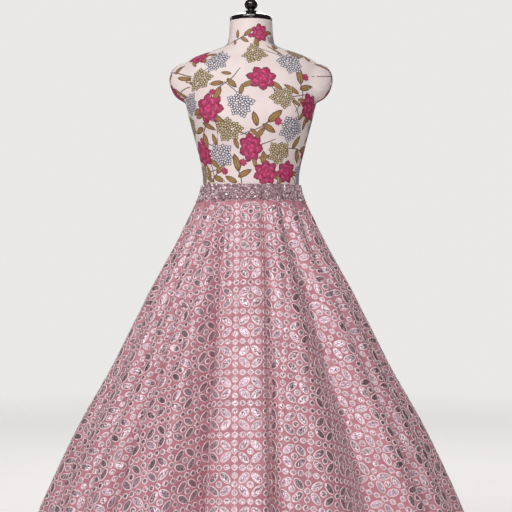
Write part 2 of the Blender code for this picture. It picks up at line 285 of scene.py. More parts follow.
def skirt_surface(drops, steps):
    """The outer side of the cloth: one ring of points for each drop, from the left side seam.

    Each ring is an oval, sunk between the flutes along a Catmull-Rom curve through their knots: the
    left shoulder, crest, right shoulder and valley of each flute, with sink 1 a valley of depth 1.
    """
    half_width, half_depth, fold_depth = smooth_table(SECTIONS, drops).T
    share = band_share(half_width)
    at_hem, at_band, deep = FLUTES[:, 0:3], FLUTES[:, 3:6], FLUTES[:, 6]
    edges = at_hem + (at_band - at_hem) * share[:, None, None]
    middle = edges[..., :2].mean(-1)
    turns = np.radians(np.stack([edges[..., 0], middle, edges[..., 1], edges[..., 2]], -1))
    sinks = np.array([(SHOULDER_SINK, 0.0, SHOULDER_SINK, valley) for valley in deep])
    for flute, other in OTHER_SINKS.items():
        sinks[flute, :3] = other
    sinks = np.broadcast_to(sinks, turns.shape)
    knots = np.stack([np.cos(turns), np.sin(turns), sinks], -1).reshape(len(drops), -1, 3)
    knots = np.roll(knots, 1, axis=1)
    before, after, beyond = (np.roll(knots, shift, axis=1) for shift in (1, -1, -2))
    here, before, after, beyond = (k[:, :, None] for k in (knots, before, after, beyond))
    t = (np.arange(steps) / steps)[:, None]
    curve = 0.5 * (2 * here + (after - before) * t + (2 * before - 5 * here + 4 * after - beyond) * t ** 2
                   + (3 * here - before - 3 * after + beyond) * t ** 3)
    cosine, sine, sink = np.moveaxis(curve.reshape(len(drops), -1, 3), -1, 0)
    azimuth = np.arctan2(sine, cosine)
    fold = fold_depth[:, None] * sink - crease_depth(azimuth, drops, share, half_width)
    return np.stack([(half_width[:, None] - fold) * np.sin(azimuth),
                     -(half_depth[:, None] - fold) * np.cos(azimuth),
                     np.broadcast_to(BAND_TOP - drops[:, None], azimuth.shape)], -1)

# %% [markdown]
# ## Where each point lay on the flat cloth
# Every pattern on the skirt was sewn while the cloth was flat, so the material and the foils need
# the flat place of each point. The cut is a fan: the distance from its point grows with the length
# down the skirt, and the way round the fan is the length along the ring divided by that distance.

# %% Fan map
Fan = namedtuple("Fan", "points reach turn")
SKIRT_ROWS = 112
SKIRT_STEPS = 8
FAN_INNER_RADIUS = 0.231
# The front's middle crosses the ring between these two knots
KNOTS_ABOUT_FRONT = (17, 19)


def lengths_along(points):
    """The running length along each row of points, starting at 0."""
    steps = np.linalg.norm(np.diff(points, axis=1), axis=-1)
    return np.pad(np.cumsum(steps, axis=1), ((0, 0), (1, 0)))


def fan_of(points, reach, centred_on_front):
    """The fan of one piece: for each point its distance from the fan's tip, and its turn round it."""
    along = lengths_along(points)
    middle = along[:, -1] / 2
    if centred_on_front:
        crest = slice(*(knot * SKIRT_STEPS for knot in KNOTS_ABOUT_FRONT))
        middle = np.array([np.interp(0, x, length)
                           for x, length in zip(points[:, crest, 0], along[:, crest])])
    return Fan(points, reach, (along - middle[:, None]) / reach[:, None])


def flat_places(fan):
    """Points of a fan on the flat cloth: reach x sine of the turn, and reach x cosine downwards."""
    reach = fan.reach[:, None]
    return np.stack([reach * np.sin(fan.turn), -reach * np.cos(fan.turn)], -1)


drops = np.linspace(SECTIONS[0, 0], SKIRT_DROP, SKIRT_ROWS)
ring_points = skirt_surface(drops, SKIRT_STEPS)
front_profile = smooth_table(SECTIONS, drops)[:, 1]
down = np.concatenate([[0], np.cumsum(np.hypot(np.diff(front_profile), np.diff(drops)))])
reach = FAN_INNER_RADIUS + down
right_seam = FLUTES_IN_FRONT * KNOTS_PER_FLUTE * SKIRT_STEPS
front_points = ring_points[:, :right_seam + 1].copy()
back_points = np.concatenate([ring_points[:, right_seam:], ring_points[:, :1]], axis=1)
for seam in (0, -1):
    front_points[:, seam, 1] = -SEAM_GAP / 2
    back_points[:, seam, 1] = SEAM_GAP / 2
front_fan = fan_of(front_points, reach, centred_on_front=True)
back_fan = fan_of(back_points, reach, centred_on_front=False)
for name, fan in (("front", front_fan), ("back", back_fan)):
    opening = np.degrees(fan.turn[-1, -1] - fan.turn[-1, 0])
    print(name, "fan opens", opening.round(1), "degrees at the hem, length", round(down[-1], 3), "m")

# %% [markdown]
# ## Finding the cloth under a place on the flat pattern
# A foil is given by where it was sewn on the flat cloth. Its corners are looked up on the hanging
# cloth: the distance from the fan's tip gives the row, the turn gives the column, and the four
# points around them are blended. So every foil bends with the fold that it lies on.

# %% Looking up the cloth
Cloth = namedtuple("Cloth", "reach start end points normals")
LOOKUP_COLUMNS = 900


def outward_normals(points):
    """The unit vector square to the cloth: the step down a row crossed with the step to the right."""
    return unit(np.cross(np.gradient(points, axis=0), np.gradient(points, axis=1)))


def even_columns(fan):
    """The fan's points and normals again, at turns that are evenly spread along each row."""
    start, end = fan.turn[:, 0], fan.turn[:, -1]
    wanted = start[:, None] + np.linspace(0, 1, LOOKUP_COLUMNS) * (end - start)[:, None]
    both = np.concatenate([fan.points, outward_normals(fan.points)], -1)
    even = np.stack([[np.interp(*row) for row in zip(wanted, fan.turn, both[..., k])] for k in range(6)], -1)
    return Cloth(fan.reach, start, end, even[..., :3], even[..., 3:])


def on_fan(cloth, flat):
    """Distance from the fan's tip, share of the way round it from the left, and its opening there."""
    reach = np.hypot(flat[..., 0], flat[..., 1])
    start = np.interp(reach, cloth.reach, cloth.start)
    opening = np.interp(reach, cloth.reach, cloth.end) - start
    return reach, (np.arctan2(flat[..., 0], -flat[..., 1]) - start) / opening, opening


def cloth_at(cloth, flat):
    """Points and normals of the hanging cloth, blended from the four nearest points of its grid."""
    reach, share, _ = on_fan(cloth, flat)
    row = np.interp(reach, cloth.reach, np.arange(len(cloth.reach)))
    column = np.clip(share, 0, 1) * (LOOKUP_COLUMNS - 1)
    i = np.minimum(row.astype(int), len(cloth.reach) - 2)
    j = np.minimum(column.astype(int), LOOKUP_COLUMNS - 2)
    down, right = (row - i)[..., None], (column - j)[..., None]

    def blend(values):
        upper = values[i, j] * (1 - right) + values[i, j + 1] * right
        lower = values[i + 1, j] * (1 - right) + values[i + 1, j + 1] * right
        return upper * (1 - down) + lower * down

    return blend(cloth.points), unit(blend(cloth.normals))


front_cloth = even_columns(front_fan)
back_cloth = even_columns(back_fan)
print("the cloth is looked up in", front_cloth.points.shape[:2], "places for each fan")

# %% [markdown]
# ## The repeat of the mirror work
# The skirt is covered with a lattice of round foils. In each window of the lattice sits a rosette:
# a round foil with four pointed ones leaning round it. The repeat was measured from the photograph
# with a ruler: 75 mm across and 80 mm down. Nothing is traced, and each foil is nudged and turned
# a little by a seeded random number, as handwork is.

# %% Places of the foils
REPEAT_ACROSS = 0.0750
REPEAT_DOWN = 0.0802
FIRST_DOT_ROW = 0.3066
DOTS_PER_REPEAT = 4
PETAL_OFFSET = (0.0151, 0.0152)
PETAL_LEAN = 46.0
MIDDLE_DOT_SIZE = 1.12
HEM_MARGIN = 0.0220
SEAM_MARGIN = 0.0015
BAND_MARGIN = 0.0010
ROWS_ABOVE = 6
random = np.random.default_rng(1947)


def lattice_places(cloth):
    """Flat centres of the repeats that may touch the piece, one row of the array for each."""
    outer = cloth.reach[-1] + REPEAT_DOWN
    across = np.arange(-int(outer / REPEAT_ACROSS) - 1, int(outer / REPEAT_ACROSS) + 2)
    down = np.arange(-ROWS_ABOVE, int(outer / REPEAT_DOWN) + 2)
    x, y = np.meshgrid(across * REPEAT_ACROSS, -(FIRST_DOT_ROW + (down - 0.5) * REPEAT_DOWN))
    return np.stack([x.ravel(), y.ravel()], -1)


def spread_over(places, offsets):
    """Every place with every offset added."""
    return (places[:, None] + np.asarray(offsets)[None]).reshape(-1, 2)


def only_on_cloth(cloth, flat, half_size):
    """True where a foil of this size lies on the cloth, clear of its seams, its band and its hem."""
    reach, share, opening = on_fan(cloth, flat)
    from_seam = np.minimum(share, 1 - share) * opening * reach
    return ((from_seam > half_size + SEAM_MARGIN) & (reach > cloth.reach[0] + half_size + BAND_MARGIN)
            & (reach < cloth.reach[-1] - HEM_MARGIN - half_size))


def round_places(cloth):
    """Centres of the round foils and their sizes: along the lattice, and larger in its windows."""
    steps = np.arange(DOTS_PER_REPEAT) / DOTS_PER_REPEAT
    along_row = [(REPEAT_ACROSS * (step - 0.5), -REPEAT_DOWN / 2) for step in steps]
    along_column = [(REPEAT_ACROSS / 2, REPEAT_DOWN * (step - 0.5)) for step in steps[1:]]
    offsets = along_row + along_column + [(0.0, 0.0)]
    places = lattice_places(cloth)
    sizes = np.tile([1.0] * (len(offsets) - 1) + [MIDDLE_DOT_SIZE], len(places))
    return spread_over(places, offsets), sizes


def petal_places(cloth):
    """Centres of the pointed foils and how each is turned, leaning round the rosette's middle."""
    across, down = PETAL_OFFSET
    offsets = [(-across, down), (across, down), (across, -down), (-across, -down)]
    turns = np.radians([PETAL_LEAN, -PETAL_LEAN, PETAL_LEAN, -PETAL_LEAN])
    places = lattice_places(cloth)
    return spread_over(places, offsets), np.tile(turns, len(places))


print(len(lattice_places(front_cloth)), "repeats may touch the front")

# %% [markdown]
# ## One foil
# Each mirror is a piece of silvery foil held down by a ring of pale thread. The ring is a low ridge
# and the foil inside it is crinkled. Thousands of them need a simple shape: rings of a few points
# round the middle, with the foil's points lifted or sunk a little by chance, so that its facets
# catch the light differently.

# %% Foil shapes
FoilShape = namedtuple("FoilShape", "flat heights crinkle faces")
THREAD_WIDTH = 0.0025
THREAD_HEIGHT = 0.0008
FOIL_HEIGHT = 0.00060
LEAST_LIFT = 0.00025
# Rings from the thread's foot inwards: how many thread widths in, scale, height, share of the crinkle
FOIL_RINGS = np.array([(0.0, 1.0, -0.0001, 0.0), (0.3, 1.0, THREAD_HEIGHT, 0.12),
                       (1.0, 1.0, FOIL_HEIGHT * 0.9, 0.35), (1.0, 0.52, FOIL_HEIGHT, 1.0)])
# How far chance moves, turns, scales, tilts and crinkles a foil
NUDGE = 0.00045
TURN_SPREAD = 3.5
SIZE_SPREAD = 0.025
TILT_SPREAD = 0.035
CRINKLE = 0.00024


def foil_shape(half_length, half_width, around):
    """Rings round a middle point: the thread's foot, its top, the foil's edge, and within the foil.

    The outline is an oval: half the length x cosine along, and half the width x sine across.
    """
    turn = around_circle(around)
    outline = np.stack([np.cos(turn), np.sin(turn)], -1)
    half = np.array([half_length, half_width])
    rings = [outline * (half - THREAD_WIDTH * inward) * scale for inward, scale in FOIL_RINGS[:, :2]]
    heights, crinkle = (np.append(np.repeat(column, around), column[-1]) for column in FOIL_RINGS[:, 2:].T)
    strips = grid_faces(4, around, closed=True)[:, ::-1]
    fan = fan_faces(3 * around + np.arange(around), 4 * around)
    return FoilShape(np.concatenate(rings + [np.zeros((1, 2))]), heights, crinkle,
                     (fan, strips[2 * around:], strips[:2 * around]))


round_foil = foil_shape(0.0079, 0.0079, around=9)
petal_foil = foil_shape(0.0169, 0.0097, around=12)
print("points on a round foil", len(round_foil.flat), "and on a pointed one", len(petal_foil.flat))


def sew_foils(name, cloth, shape, centres, turns, sizes, materials):
    """Copies of a foil on the cloth: each is nudged, turned and scaled flat, then laid on the fold."""
    count, points = len(centres), len(shape.flat)
    centres = centres + random.normal(0, NUDGE, (count, 2))
    turns = turns + np.radians(random.normal(0, TURN_SPREAD, count))
    size = sizes[:, None, None] * (1 + random.normal(0, SIZE_SPREAD, (count, 1, 1)))
    cosine, sine = np.cos(turns)[:, None], np.sin(turns)[:, None]
    x, y = np.moveaxis(shape.flat[None] * size, -1, 0)
    flat = centres[:, None] + np.stack([x * cosine - y * sine, x * sine + y * cosine], -1)
    places, normals = cloth_at(cloth, flat)
    tilt = random.normal(0, TILT_SPREAD, (count, 2, 1))
    lift = (shape.heights + shape.crinkle * (random.normal(0, CRINKLE, (count, points))
                                             + tilt[:, 0] * x + tilt[:, 1] * y))
    lift = np.where(shape.crinkle > 0, np.maximum(lift, LEAST_LIFT), lift)
    faces = [copied_faces(part, count, points) for part in shape.faces]
    piece = make_piece(name, places + normals * lift[..., None], faces, materials[0], smooth=False)
    piece.data.materials.append(materials[1])
    is_thread = np.repeat([False, False, True], [len(part) for part in faces])
    piece.data.polygons.foreach_set("material_index", is_thread.astype(np.int32))
    piece.data.polygons.foreach_set("use_smooth", is_thread)
    add_flat_map(piece, flat)
    add_point_values(piece, "tone", np.repeat(random.random(count), points))
    return piece

# %% [markdown]
# ## Materials: helpers
# Every finish is a node tree. Writing each link out takes many lines, so a small class adds a node
# and fills its inputs in order: a socket is linked and a plain value is set. A second class is a
# material with a Principled shader, which takes a colour, a roughness and a relief.

# %% Node helpers
HALF = (0.5, 0.5, 0.5)


class Nodes:
    """A node tree with short ways to add to it; each gives the new node's outputs, or its result."""

    def __init__(self, tree):
        self.tree = tree

    def fill(self, socket, value):
        """Link a socket, or set it to a plain value; a colour gets its alpha here."""
        if isinstance(value, bpy.types.NodeSocket):
            self.tree.links.new(value, socket)
        else:
            socket.default_value = (*value, 1.0) if socket.type == "RGBA" else value

    def add(self, kind, inputs=(), **settings):
        """Any node, with its settings and its inputs: a list in order, or a dict by name."""
        made = self.tree.nodes.new(kind)
        for setting, value in settings.items():
            setattr(made, setting, value)
        for key, value in (inputs.items() if isinstance(inputs, dict) else enumerate(inputs)):
            self.fill(made.inputs[key], value)
        return made.outputs

    def math(self, operation, *values):
        """The result of a Math node."""
        return self.add("ShaderNodeMath", values, operation=operation)[0]

    def vector(self, operation, *values):
        """The result of a Vector Math node, which is a number for a length or a dot product."""
        made = self.add("ShaderNodeVectorMath", values, operation=operation)
        return made[1 if operation in ("LENGTH", "DOT_PRODUCT") else 0]

    def remap(self, value, old_low, old_high, new_low, new_high):
        """A value moved from one range to another with a soft S, and held at both ends."""
        return self.add("ShaderNodeMapRange", [value, old_low, old_high, new_low, new_high],
                        interpolation_type="SMOOTHSTEP")[0]

    def between(self, value, low, high):
        """A value of 0 to 1 moved to the range from low to high, with a soft S."""
        return self.remap(value, 0.0, 1.0, low, high)

    def mix(self, share, first, second):
        """The first colour where share is 0 and the second where it is 1."""
        return self.add("ShaderNodeMix", {0: share, 6: first, 7: second}, data_type="RGBA")[2]

    def tint(self, colour, mask, strength, other):
        """A colour moved towards another by mask x strength."""
        return self.mix(self.math("MULTIPLY", mask, strength), colour, other)

    def noise(self, vector, scale, detail=2.0):
        """A noise texture: first its value, then three values as a colour."""
        return self.add("ShaderNodeTexNoise", {"Vector": vector, "Scale": scale, "Detail": detail})

    def weave(self, vector, pitch):
        """The shared weave at a thread pitch: its Height and its Gap."""
        return self.add("ShaderNodeGroup", [vector, pitch], node_tree=plain_weave)

    def uneven(self, vector, scale):
        """The shared uneven tone: Broad and Fine."""
        return self.add("ShaderNodeGroup", [vector, scale], node_tree=uneven_tone)

    def flat_cloth(self):
        """Places on the flat cut cloth."""
        return self.add("ShaderNodeUVMap", uv_map="flat_cloth")[0]

    def object_place(self):
        """Places in the object's own coordinates."""
        return self.add("ShaderNodeTexCoord")["Object"]

    def stored(self, name, output):
        """What add_point_values stored: Fac for a number, Color for a colour."""
        return self.add("ShaderNodeAttribute", attribute_name=name)[output]


class Finish(Nodes):
    """A material with a Principled shader; plain values are set on the shader's own sockets."""

    def __init__(self, name, **plain):
        self.material = bpy.data.materials.new(name)
        self.material.use_nodes = True
        super().__init__(self.material.node_tree)
        self.shader = self.tree.nodes["Principled BSDF"].inputs
        for label, value in plain.items():
            self.fill(self.shader[label.replace("_", " ")], value)

    def done(self, colour, roughness, relief=None, strength=1.0, distance=0.001):
        """The finished material: colour, roughness and, if there is a relief, a bump are linked."""
        self.fill(self.shader["Base Color"], colour)
        self.fill(self.shader["Roughness"], roughness)
        if relief is not None:
            bump = self.add("ShaderNodeBump", {"Strength": strength, "Distance": distance, "Height": relief})
            self.fill(self.shader["Normal"], bump[0])
        return self.material


def new_group(name, number, results):
    """An empty group: its nodes, the vector and the number that go in, and the inputs of its end."""
    tree = bpy.data.node_groups.new(name, "ShaderNodeTree")
    tree.interface.new_socket("Vector", in_out="INPUT", socket_type="NodeSocketVector")
    tree.interface.new_socket(number, in_out="INPUT", socket_type="NodeSocketFloat")
    for label in results:
        tree.interface.new_socket(label, in_out="OUTPUT", socket_type="NodeSocketFloat")
    nodes = Nodes(tree)
    given = nodes.add("NodeGroupInput")
    return nodes, given[0], given[1], tree.nodes.new("NodeGroupOutput").inputs

# %% [markdown]
# ## Shared effects
# Three materials here are cloth, so the plain weave is one group: threads run both ways and pass
# over and under each other like a chequerboard. The second group is an uneven tone at two scales,
# which every material uses a little of, because no real surface is one flat colour.

# %% Weave and uneven tone
nodes, vector, pitch, result = new_group("plain_weave", "Thread Pitch", ("Height", "Gap"))
split = nodes.add("ShaderNodeSeparateXYZ", [vector])
across, upward = (nodes.math("DIVIDE", split[axis], pitch) for axis in (0, 1))
warp, weft = (nodes.math("ABSOLUTE", nodes.math("SINE", nodes.math("MULTIPLY", way, math.pi)))
              for way in (across, upward))
squares = nodes.math("ADD", nodes.math("FLOOR", across), nodes.math("FLOOR", upward))
over = nodes.math("PINGPONG", squares, 1.0)
warp_height = nodes.math("MULTIPLY", warp, nodes.math("ADD", over, 0.45))
weft_height = nodes.math("MULTIPLY", weft, nodes.math("SUBTRACT", 1.45, over))
nodes.fill(result[0], nodes.math("MAXIMUM", warp_height, weft_height))
nodes.fill(result[1], nodes.math("SUBTRACT", 1.0, nodes.math("MAXIMUM", warp, weft)))
plain_weave = nodes.tree

nodes, vector, scale, result = new_group("uneven_tone", "Scale", ("Broad", "Fine"))
broad = nodes.noise(vector, scale)
fine = nodes.noise(vector, nodes.math("MULTIPLY", scale, 9.0), detail=3.0)
for end, texture in zip(result, (broad, fine)):
    nodes.fill(end, nodes.remap(texture[0], 0.3, 0.7, 0.0, 1.0))
uneven_tone = nodes.tree
print("groups:", plain_weave.name, uneven_tone.name)

# %% [markdown]
# ## The skirt's cloth
# The cloth is a soft rose net over a lining, so its colour wanders a little. Thin pale threads run
# from foil to foil. They follow the lattice, so the material works them out from the flat map: the
# distance to the nearest line of the repeat says where a thread lies.

# %% Skirt cloth
LINK_WIDTH = 0.0006
TIP_LINK_ACROSS = 0.0115
TIP_LINK_DOWN = 0.0155


def from_line(nodes, value, repeat):
    """Distance to the nearest multiple of the repeat."""
    return nodes.math("PINGPONG", value, repeat / 2)


def thread_mask(nodes, distance):
    """1 on a thread, 0 away from it, with a soft edge."""
    return nodes.remap(distance, LINK_WIDTH, LINK_WIDTH * 1.9, 1.0, 0.0)


look = Finish("skirt_rose_cloth", Sheen_Weight=0.08, Sheen_Roughness=0.5)
flat_map = look.flat_cloth()
tones = look.uneven(flat_map, 16.0)
threads = look.weave(flat_map, 0.0009)
wandering = look.vector("SUBTRACT", look.noise(flat_map, 60.0)[1], HALF)
wandering = look.vector("MULTIPLY", wandering, (0.0022, 0.0022, 0.0))
place = look.add("ShaderNodeSeparateXYZ", [look.vector("ADD", flat_map, wandering)])
rosette_column = from_line(look, place[0], REPEAT_ACROSS)
dot_column = look.math("SUBTRACT", REPEAT_ACROSS / 2, rosette_column)
dot_row = from_line(look, look.math("ADD", place[1], FIRST_DOT_ROW), REPEAT_DOWN)
rosette_row = look.math("SUBTRACT", REPEAT_DOWN / 2, dot_row)
side_tip = look.math("MULTIPLY", thread_mask(look, rosette_row),
                     look.math("LESS_THAN", dot_column, TIP_LINK_ACROSS))
end_tip = look.math("MULTIPLY", thread_mask(look, rosette_column),
                    look.math("LESS_THAN", dot_row, TIP_LINK_DOWN))
links = look.math("MAXIMUM", thread_mask(look, dot_column), thread_mask(look, dot_row))
links = look.math("MAXIMUM", links, look.math("MAXIMUM", side_tip, end_tip))
rose_tone = look.mix(tones["Broad"], (0.495, 0.193, 0.243), (0.632, 0.284, 0.334))
rose_tone = look.tint(rose_tone, tones["Fine"], 0.40, (0.395, 0.142, 0.184))
rose_tone = look.tint(rose_tone, threads["Gap"], 0.55, (0.230, 0.066, 0.092))
rose_tone = look.tint(rose_tone, links, 0.85, (0.820, 0.600, 0.650))
relief = look.math("ADD", look.math("MULTIPLY", threads["Height"], 0.06), look.math("MULTIPLY", links, 0.55))
relief = look.math("ADD", relief, look.math("MULTIPLY", look.noise(flat_map, 75.0)[0], 1.1))
rose_cloth = look.done(rose_tone, look.remap(threads["Height"], 0.0, 1.4, 0.78, 0.55), relief, 0.6, 0.001)
print("material:", rose_cloth.name)

# %% [markdown]
# ## Foil and thread
# Foil is a metal: it has little colour of its own and shows what lies round it. Its colour is
# speckled here in small patches from pale silver to dark smoke, which is painted reflection: the
# bright and dark glints that crinkled foil throws back. Its crinkles are finer than its faces, so a
# bump adds them: the flat cloth is divided into small cells, and each cell leans its own way by
# chance. The whole foil leans too, by the tone stored on its points, so that one foil glitters and
# the next is dark. The pale thread's twist is a small diagonal wave.

# %% Foil and thread
FACET_TILT = 0.50
FOIL_TILT = 0.4
look = Finish("crinkled_foil", Metallic=1.0)
flat_map = look.flat_cloth()
tone = look.stored("tone", "Fac")
tones = look.uneven(flat_map, 400.0)
# The foil's colour is speckled between pale silver and dark smoke in small patches: a painted mottle of the
# crinkles' bright and dark reflections.
foil_painted_reflection_mottle = look.mix(tones["Broad"], (0.895, 0.725, 0.790), (0.220, 0.125, 0.155))
foil_painted_reflection_mottle = look.tint(foil_painted_reflection_mottle, tone, 0.30, (0.690, 0.560, 0.670))
rough = look.math("ADD", look.between(tone, 0.33, 0.45), look.math("MULTIPLY", tones["Fine"], 0.12))
facets = look.add("ShaderNodeTexVoronoi", {"Vector": flat_map, "Scale": 430.0}, voronoi_dimensions="2D")
from_cell = look.vector("SUBTRACT", flat_map, facets["Position"])
cell_tilt = look.vector("SUBTRACT", facets["Color"], HALF)
chance = look.add("ShaderNodeTexWhiteNoise", {"W": tone}, noise_dimensions="1D")["Color"]
foil_tilt = look.vector("MULTIPLY", look.vector("SUBTRACT", chance, HALF), (FOIL_TILT, FOIL_TILT, FOIL_TILT))
facet_height = look.vector("DOT_PRODUCT", look.vector("ADD", cell_tilt, foil_tilt), from_cell)
foil = look.done(foil_painted_reflection_mottle, rough, facet_height, 1.0, FACET_TILT)

look = Finish("pale_thread", Sheen_Weight=0.2)
flat_map = look.flat_cloth()
twist = look.add("ShaderNodeTexWave", {"Vector": flat_map, "Scale": 420.0, "Distortion": 3.0},
                 bands_direction="DIAGONAL")[1]
pale = look.mix(look.uneven(flat_map, 90.0)["Broad"], (0.985, 0.825, 0.840), (0.900, 0.700, 0.725))
pale = look.tint(pale, twist, 0.25, (0.600, 0.400, 0.440))
pale_thread = look.done(pale, look.between(twist, 0.45, 0.65), twist, 0.5, 0.0004)
print("materials:", foil.name, pale_thread.name)

# %% [markdown]
# ## Hanging the skirt
# The two fans become meshes. Solidify gives them their wall, growing inwards from the outer side,
# so the foils still lie on it. The hem's edge is rolled over and stitched, which is a thin round
# welt along the last row.

# %% Skirt pieces
CLOTH_WALL = 0.0020
HEM_WELT_RADIUS = 0.0022
HEM_WELT_SIDES = 6
ROUND_ROOM = 0.0076
PETAL_ROOM = 0.0135


def tube_along(path, radius, sides):
    """Circles of points round a closed path: each is square to it, and starts on its upper side."""
    ahead = unit(np.roll(path, -1, 0) - np.roll(path, 1, 0))
    side = unit(np.cross(ahead, [0.0, 0.0, 1.0]))
    top = np.cross(side, ahead)
    turn = around_circle(sides)[:, None]
    return path[:, None] + radius * (np.sin(turn) * side[:, None] + np.cos(turn) * top[:, None])


def hang_cloth(name, node, fan):
    """One fan of the skirt as a closed wall of cloth that replaces its solid."""
    piece = make_piece(name, fan.points, [grid_faces(*fan.turn.shape)], rose_cloth)
    add_flat_map(piece, flat_places(fan))
    wall = piece.modifiers.new("wall", "SOLIDIFY")
    wall.thickness = CLOTH_WALL
    wall.offset = -1.0
    wall.use_even_offset = True
    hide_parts(node)
    return piece


def sew_mirrors(side, cloth):
    """All round and pointed foils of one fan."""
    places, sizes = round_places(cloth)
    kept = only_on_cloth(cloth, places, ROUND_ROOM)
    dots = sew_foils(f"{side}_round_foils", cloth, round_foil, places[kept],
                     random.uniform(0, 2 * np.pi, kept.sum()), sizes[kept], (foil, pale_thread))
    places, turns = petal_places(cloth)
    kept = only_on_cloth(cloth, places, PETAL_ROOM)
    petals = sew_foils(f"{side}_pointed_foils", cloth, petal_foil, places[kept], turns[kept],
                       np.ones(kept.sum()), (foil, pale_thread))
    return [dots, petals]


skirt_front = hang_cloth("front_panel", "skirt_front", front_fan)
skirt_back = hang_cloth("back_panel", "skirt_back", back_fan)
front_mirrors = sew_mirrors("front", front_cloth)
back_mirrors = sew_mirrors("back", back_cloth)

hem_path = ring_points[-1] - outward_normals(ring_points)[-1] * CLOTH_WALL / 2
welt_points = tube_along(hem_path, HEM_WELT_RADIUS, HEM_WELT_SIDES)
welt_faces = grid_faces(len(hem_path) + 1, HEM_WELT_SIDES, closed=True) % (len(hem_path) * HEM_WELT_SIDES)
hem_welt = make_piece("hem_welt", welt_points, [welt_faces[:, ::-1]], pale_thread)
around_welt = around_circle(HEM_WELT_SIDES) * HEM_WELT_RADIUS
hem_length = lengths_along(hem_path[None])[0]
add_flat_map(hem_welt, np.stack(np.broadcast_arrays(hem_length[:, None], around_welt), -1))

# %% [markdown]
# ## The dress form
# The form is a padded torso with its arms cut off in soft oval ends. It is a stack of ovals again:
# a table gives each one's height, half width, half depth, how far its middle lies back and how
# square it is. The bust and the shoulder ends are added to it as smooth rises.

# %% Form tables
FORM_BOTTOM = 0.760
NECK_TOP = 1.5155
# Columns: height, half width, half depth and middle in millimetres, squareness (2 is an ellipse)
FORM_RINGS = np.array([
    (760, 160, 118, 6, 2.2), (768, 166, 124, 6, 2.2), (820, 171.5, 129, 7, 2.2),
    (880, 171, 129, 7, 2.2), (940, 163, 123, 5, 2.1), (990, 152, 115, 3, 2.1),
    (1040, 137.7, 106, 0, 2), (1062, 130.5, 101, 0, 2), (1080, 126.8, 98.5, 0, 2),
    (1100, 126.2, 98.5, -1, 2), (1130, 130.5, 100.5, -4, 2), (1170, 140, 105, -9, 2.1),
    (1210, 150, 110, -14, 2.1), (1250, 160.5, 114, -17, 2.2), (1285, 169, 113.5, -15, 2.2),
    (1310, 174.5, 109.5, -11, 2.2), (1340, 179, 102.5, -5, 2.2), (1374, 183, 93, 3, 2.2),
    (1390, 182, 88, 6, 2.1), (1404, 176, 83, 8, 2.1), (1418, 156, 77, 10, 2),
    (1432, 119, 71, 11, 2), (1445, 78, 64, 10, 2), (1453, 65, 61, 9, 2),
    (1464, 60.5, 58.5, 8, 2), (1485, 57.8, 56, 7, 2), (1515.5, 56, 55.5, 5, 2),
]) / [1000, 1000, 1000, 1000, 1]
BUST_HEIGHT = 1.262
BUST_AZIMUTH = 33.0
BUST_RISE = 0.014
BUST_SPREAD_UP = 0.048
BUST_SPREAD_AROUND = 22.0
SHOULDER_END_HEIGHT = 1.353
SHOULDER_END_HALF_HEIGHT = 0.052
SHOULDER_END_HALF_ANGLE = 33.0
SHOULDER_END_RISE = 0.034
SHOULDER_END_ROUNDNESS = 0.55


def form_at(azimuth, height):
    """Points of the form: a superellipse, plus bell-shaped busts and half-oval shoulder ends."""
    half_width, half_depth, middle, square = np.moveaxis(smooth_table(FORM_RINGS, height), -1, 0)
    across = np.sign(np.sin(azimuth)) * np.abs(np.sin(azimuth)) ** (2 / square)
    along = np.sign(np.cos(azimuth)) * np.abs(np.cos(azimuth)) ** (2 / square)
    turned = np.degrees(np.abs(np.angle(np.exp(1j * azimuth))))
    bust = BUST_RISE * np.exp(-((turned - BUST_AZIMUTH) / BUST_SPREAD_AROUND) ** 2
                              - ((height - BUST_HEIGHT) / BUST_SPREAD_UP) ** 2)
    inside = (1 - ((turned - 90) / SHOULDER_END_HALF_ANGLE) ** 2
              - ((height - SHOULDER_END_HEIGHT) / SHOULDER_END_HALF_HEIGHT) ** 2)
    dome = SHOULDER_END_RISE * np.maximum(0, inside) ** SHOULDER_END_ROUNDNESS
    return np.stack([(half_width + bust + dome) * across, middle - (half_depth + bust) * along,
                     height + 0 * azimuth], -1)


def form_normal(azimuth, height):
    """The outward unit normal: the step down crossed with the step round to the right."""
    step = 0.0015
    right = form_at(azimuth + step * 5, height) - form_at(azimuth - step * 5, height)
    down = form_at(azimuth, height - step) - form_at(azimuth, height + step)
    return unit(np.cross(down, right))


print("the form reaches from", FORM_BOTTOM, "to", NECK_TOP, "m")

# %% Form body
FORM_COLUMNS = 132
FORM_EDGE = 0.008
# Rows of points: from which height, to which height, and how many
FORM_ROWS = ((NECK_TOP, 1.405, 34), (1.401, 1.29, 36), (1.285, FORM_BOTTOM + FORM_EDGE, 46))
heights = np.concatenate([np.linspace(*rows) for rows in FORM_ROWS]
                         + [FORM_BOTTOM + FORM_EDGE * np.array([0.6, 0.3, 0.1, 0.0])])
azimuths = around_circle(FORM_COLUMNS) - np.pi
rows = form_at(azimuths[None], heights[:, None])
form_points = np.concatenate([rows.reshape(-1, 3), rows[[0, -1]].mean(1)])
print(len(heights), "rows of", FORM_COLUMNS, "points on the form")

# %% [markdown]
# The form is covered with a pale printed cotton, pieced together along seams over the bust, at the
# sides, in the middle of the back and round each shoulder end. The cover's weave follows the
# object's own coordinates, because at this scale its direction can't be seen.

# %% Form cover
look = Finish("printed_cotton_cover", Sheen_Weight=0.1)
place = look.object_place()
split = look.add("ShaderNodeSeparateXYZ", [place])
weave_place = look.add("ShaderNodeCombineXYZ", [look.math("ADD", split[0], split[1]), split[2]])[0]
threads = look.weave(weave_place, 0.0011)
tones = look.uneven(place, 14.0)
cream = look.mix(tones["Broad"], (0.840, 0.705, 0.690), (0.890, 0.775, 0.750))
cream = look.tint(cream, threads["Gap"], 0.30, (0.560, 0.430, 0.420))
cover = look.done(cream, look.between(tones["Fine"], 0.72, 0.86), threads["Height"], 0.5, 0.0002)

form = make_piece("printed_form", form_points, capped_faces(len(heights), FORM_COLUMNS), cover)
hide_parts("dress_form")

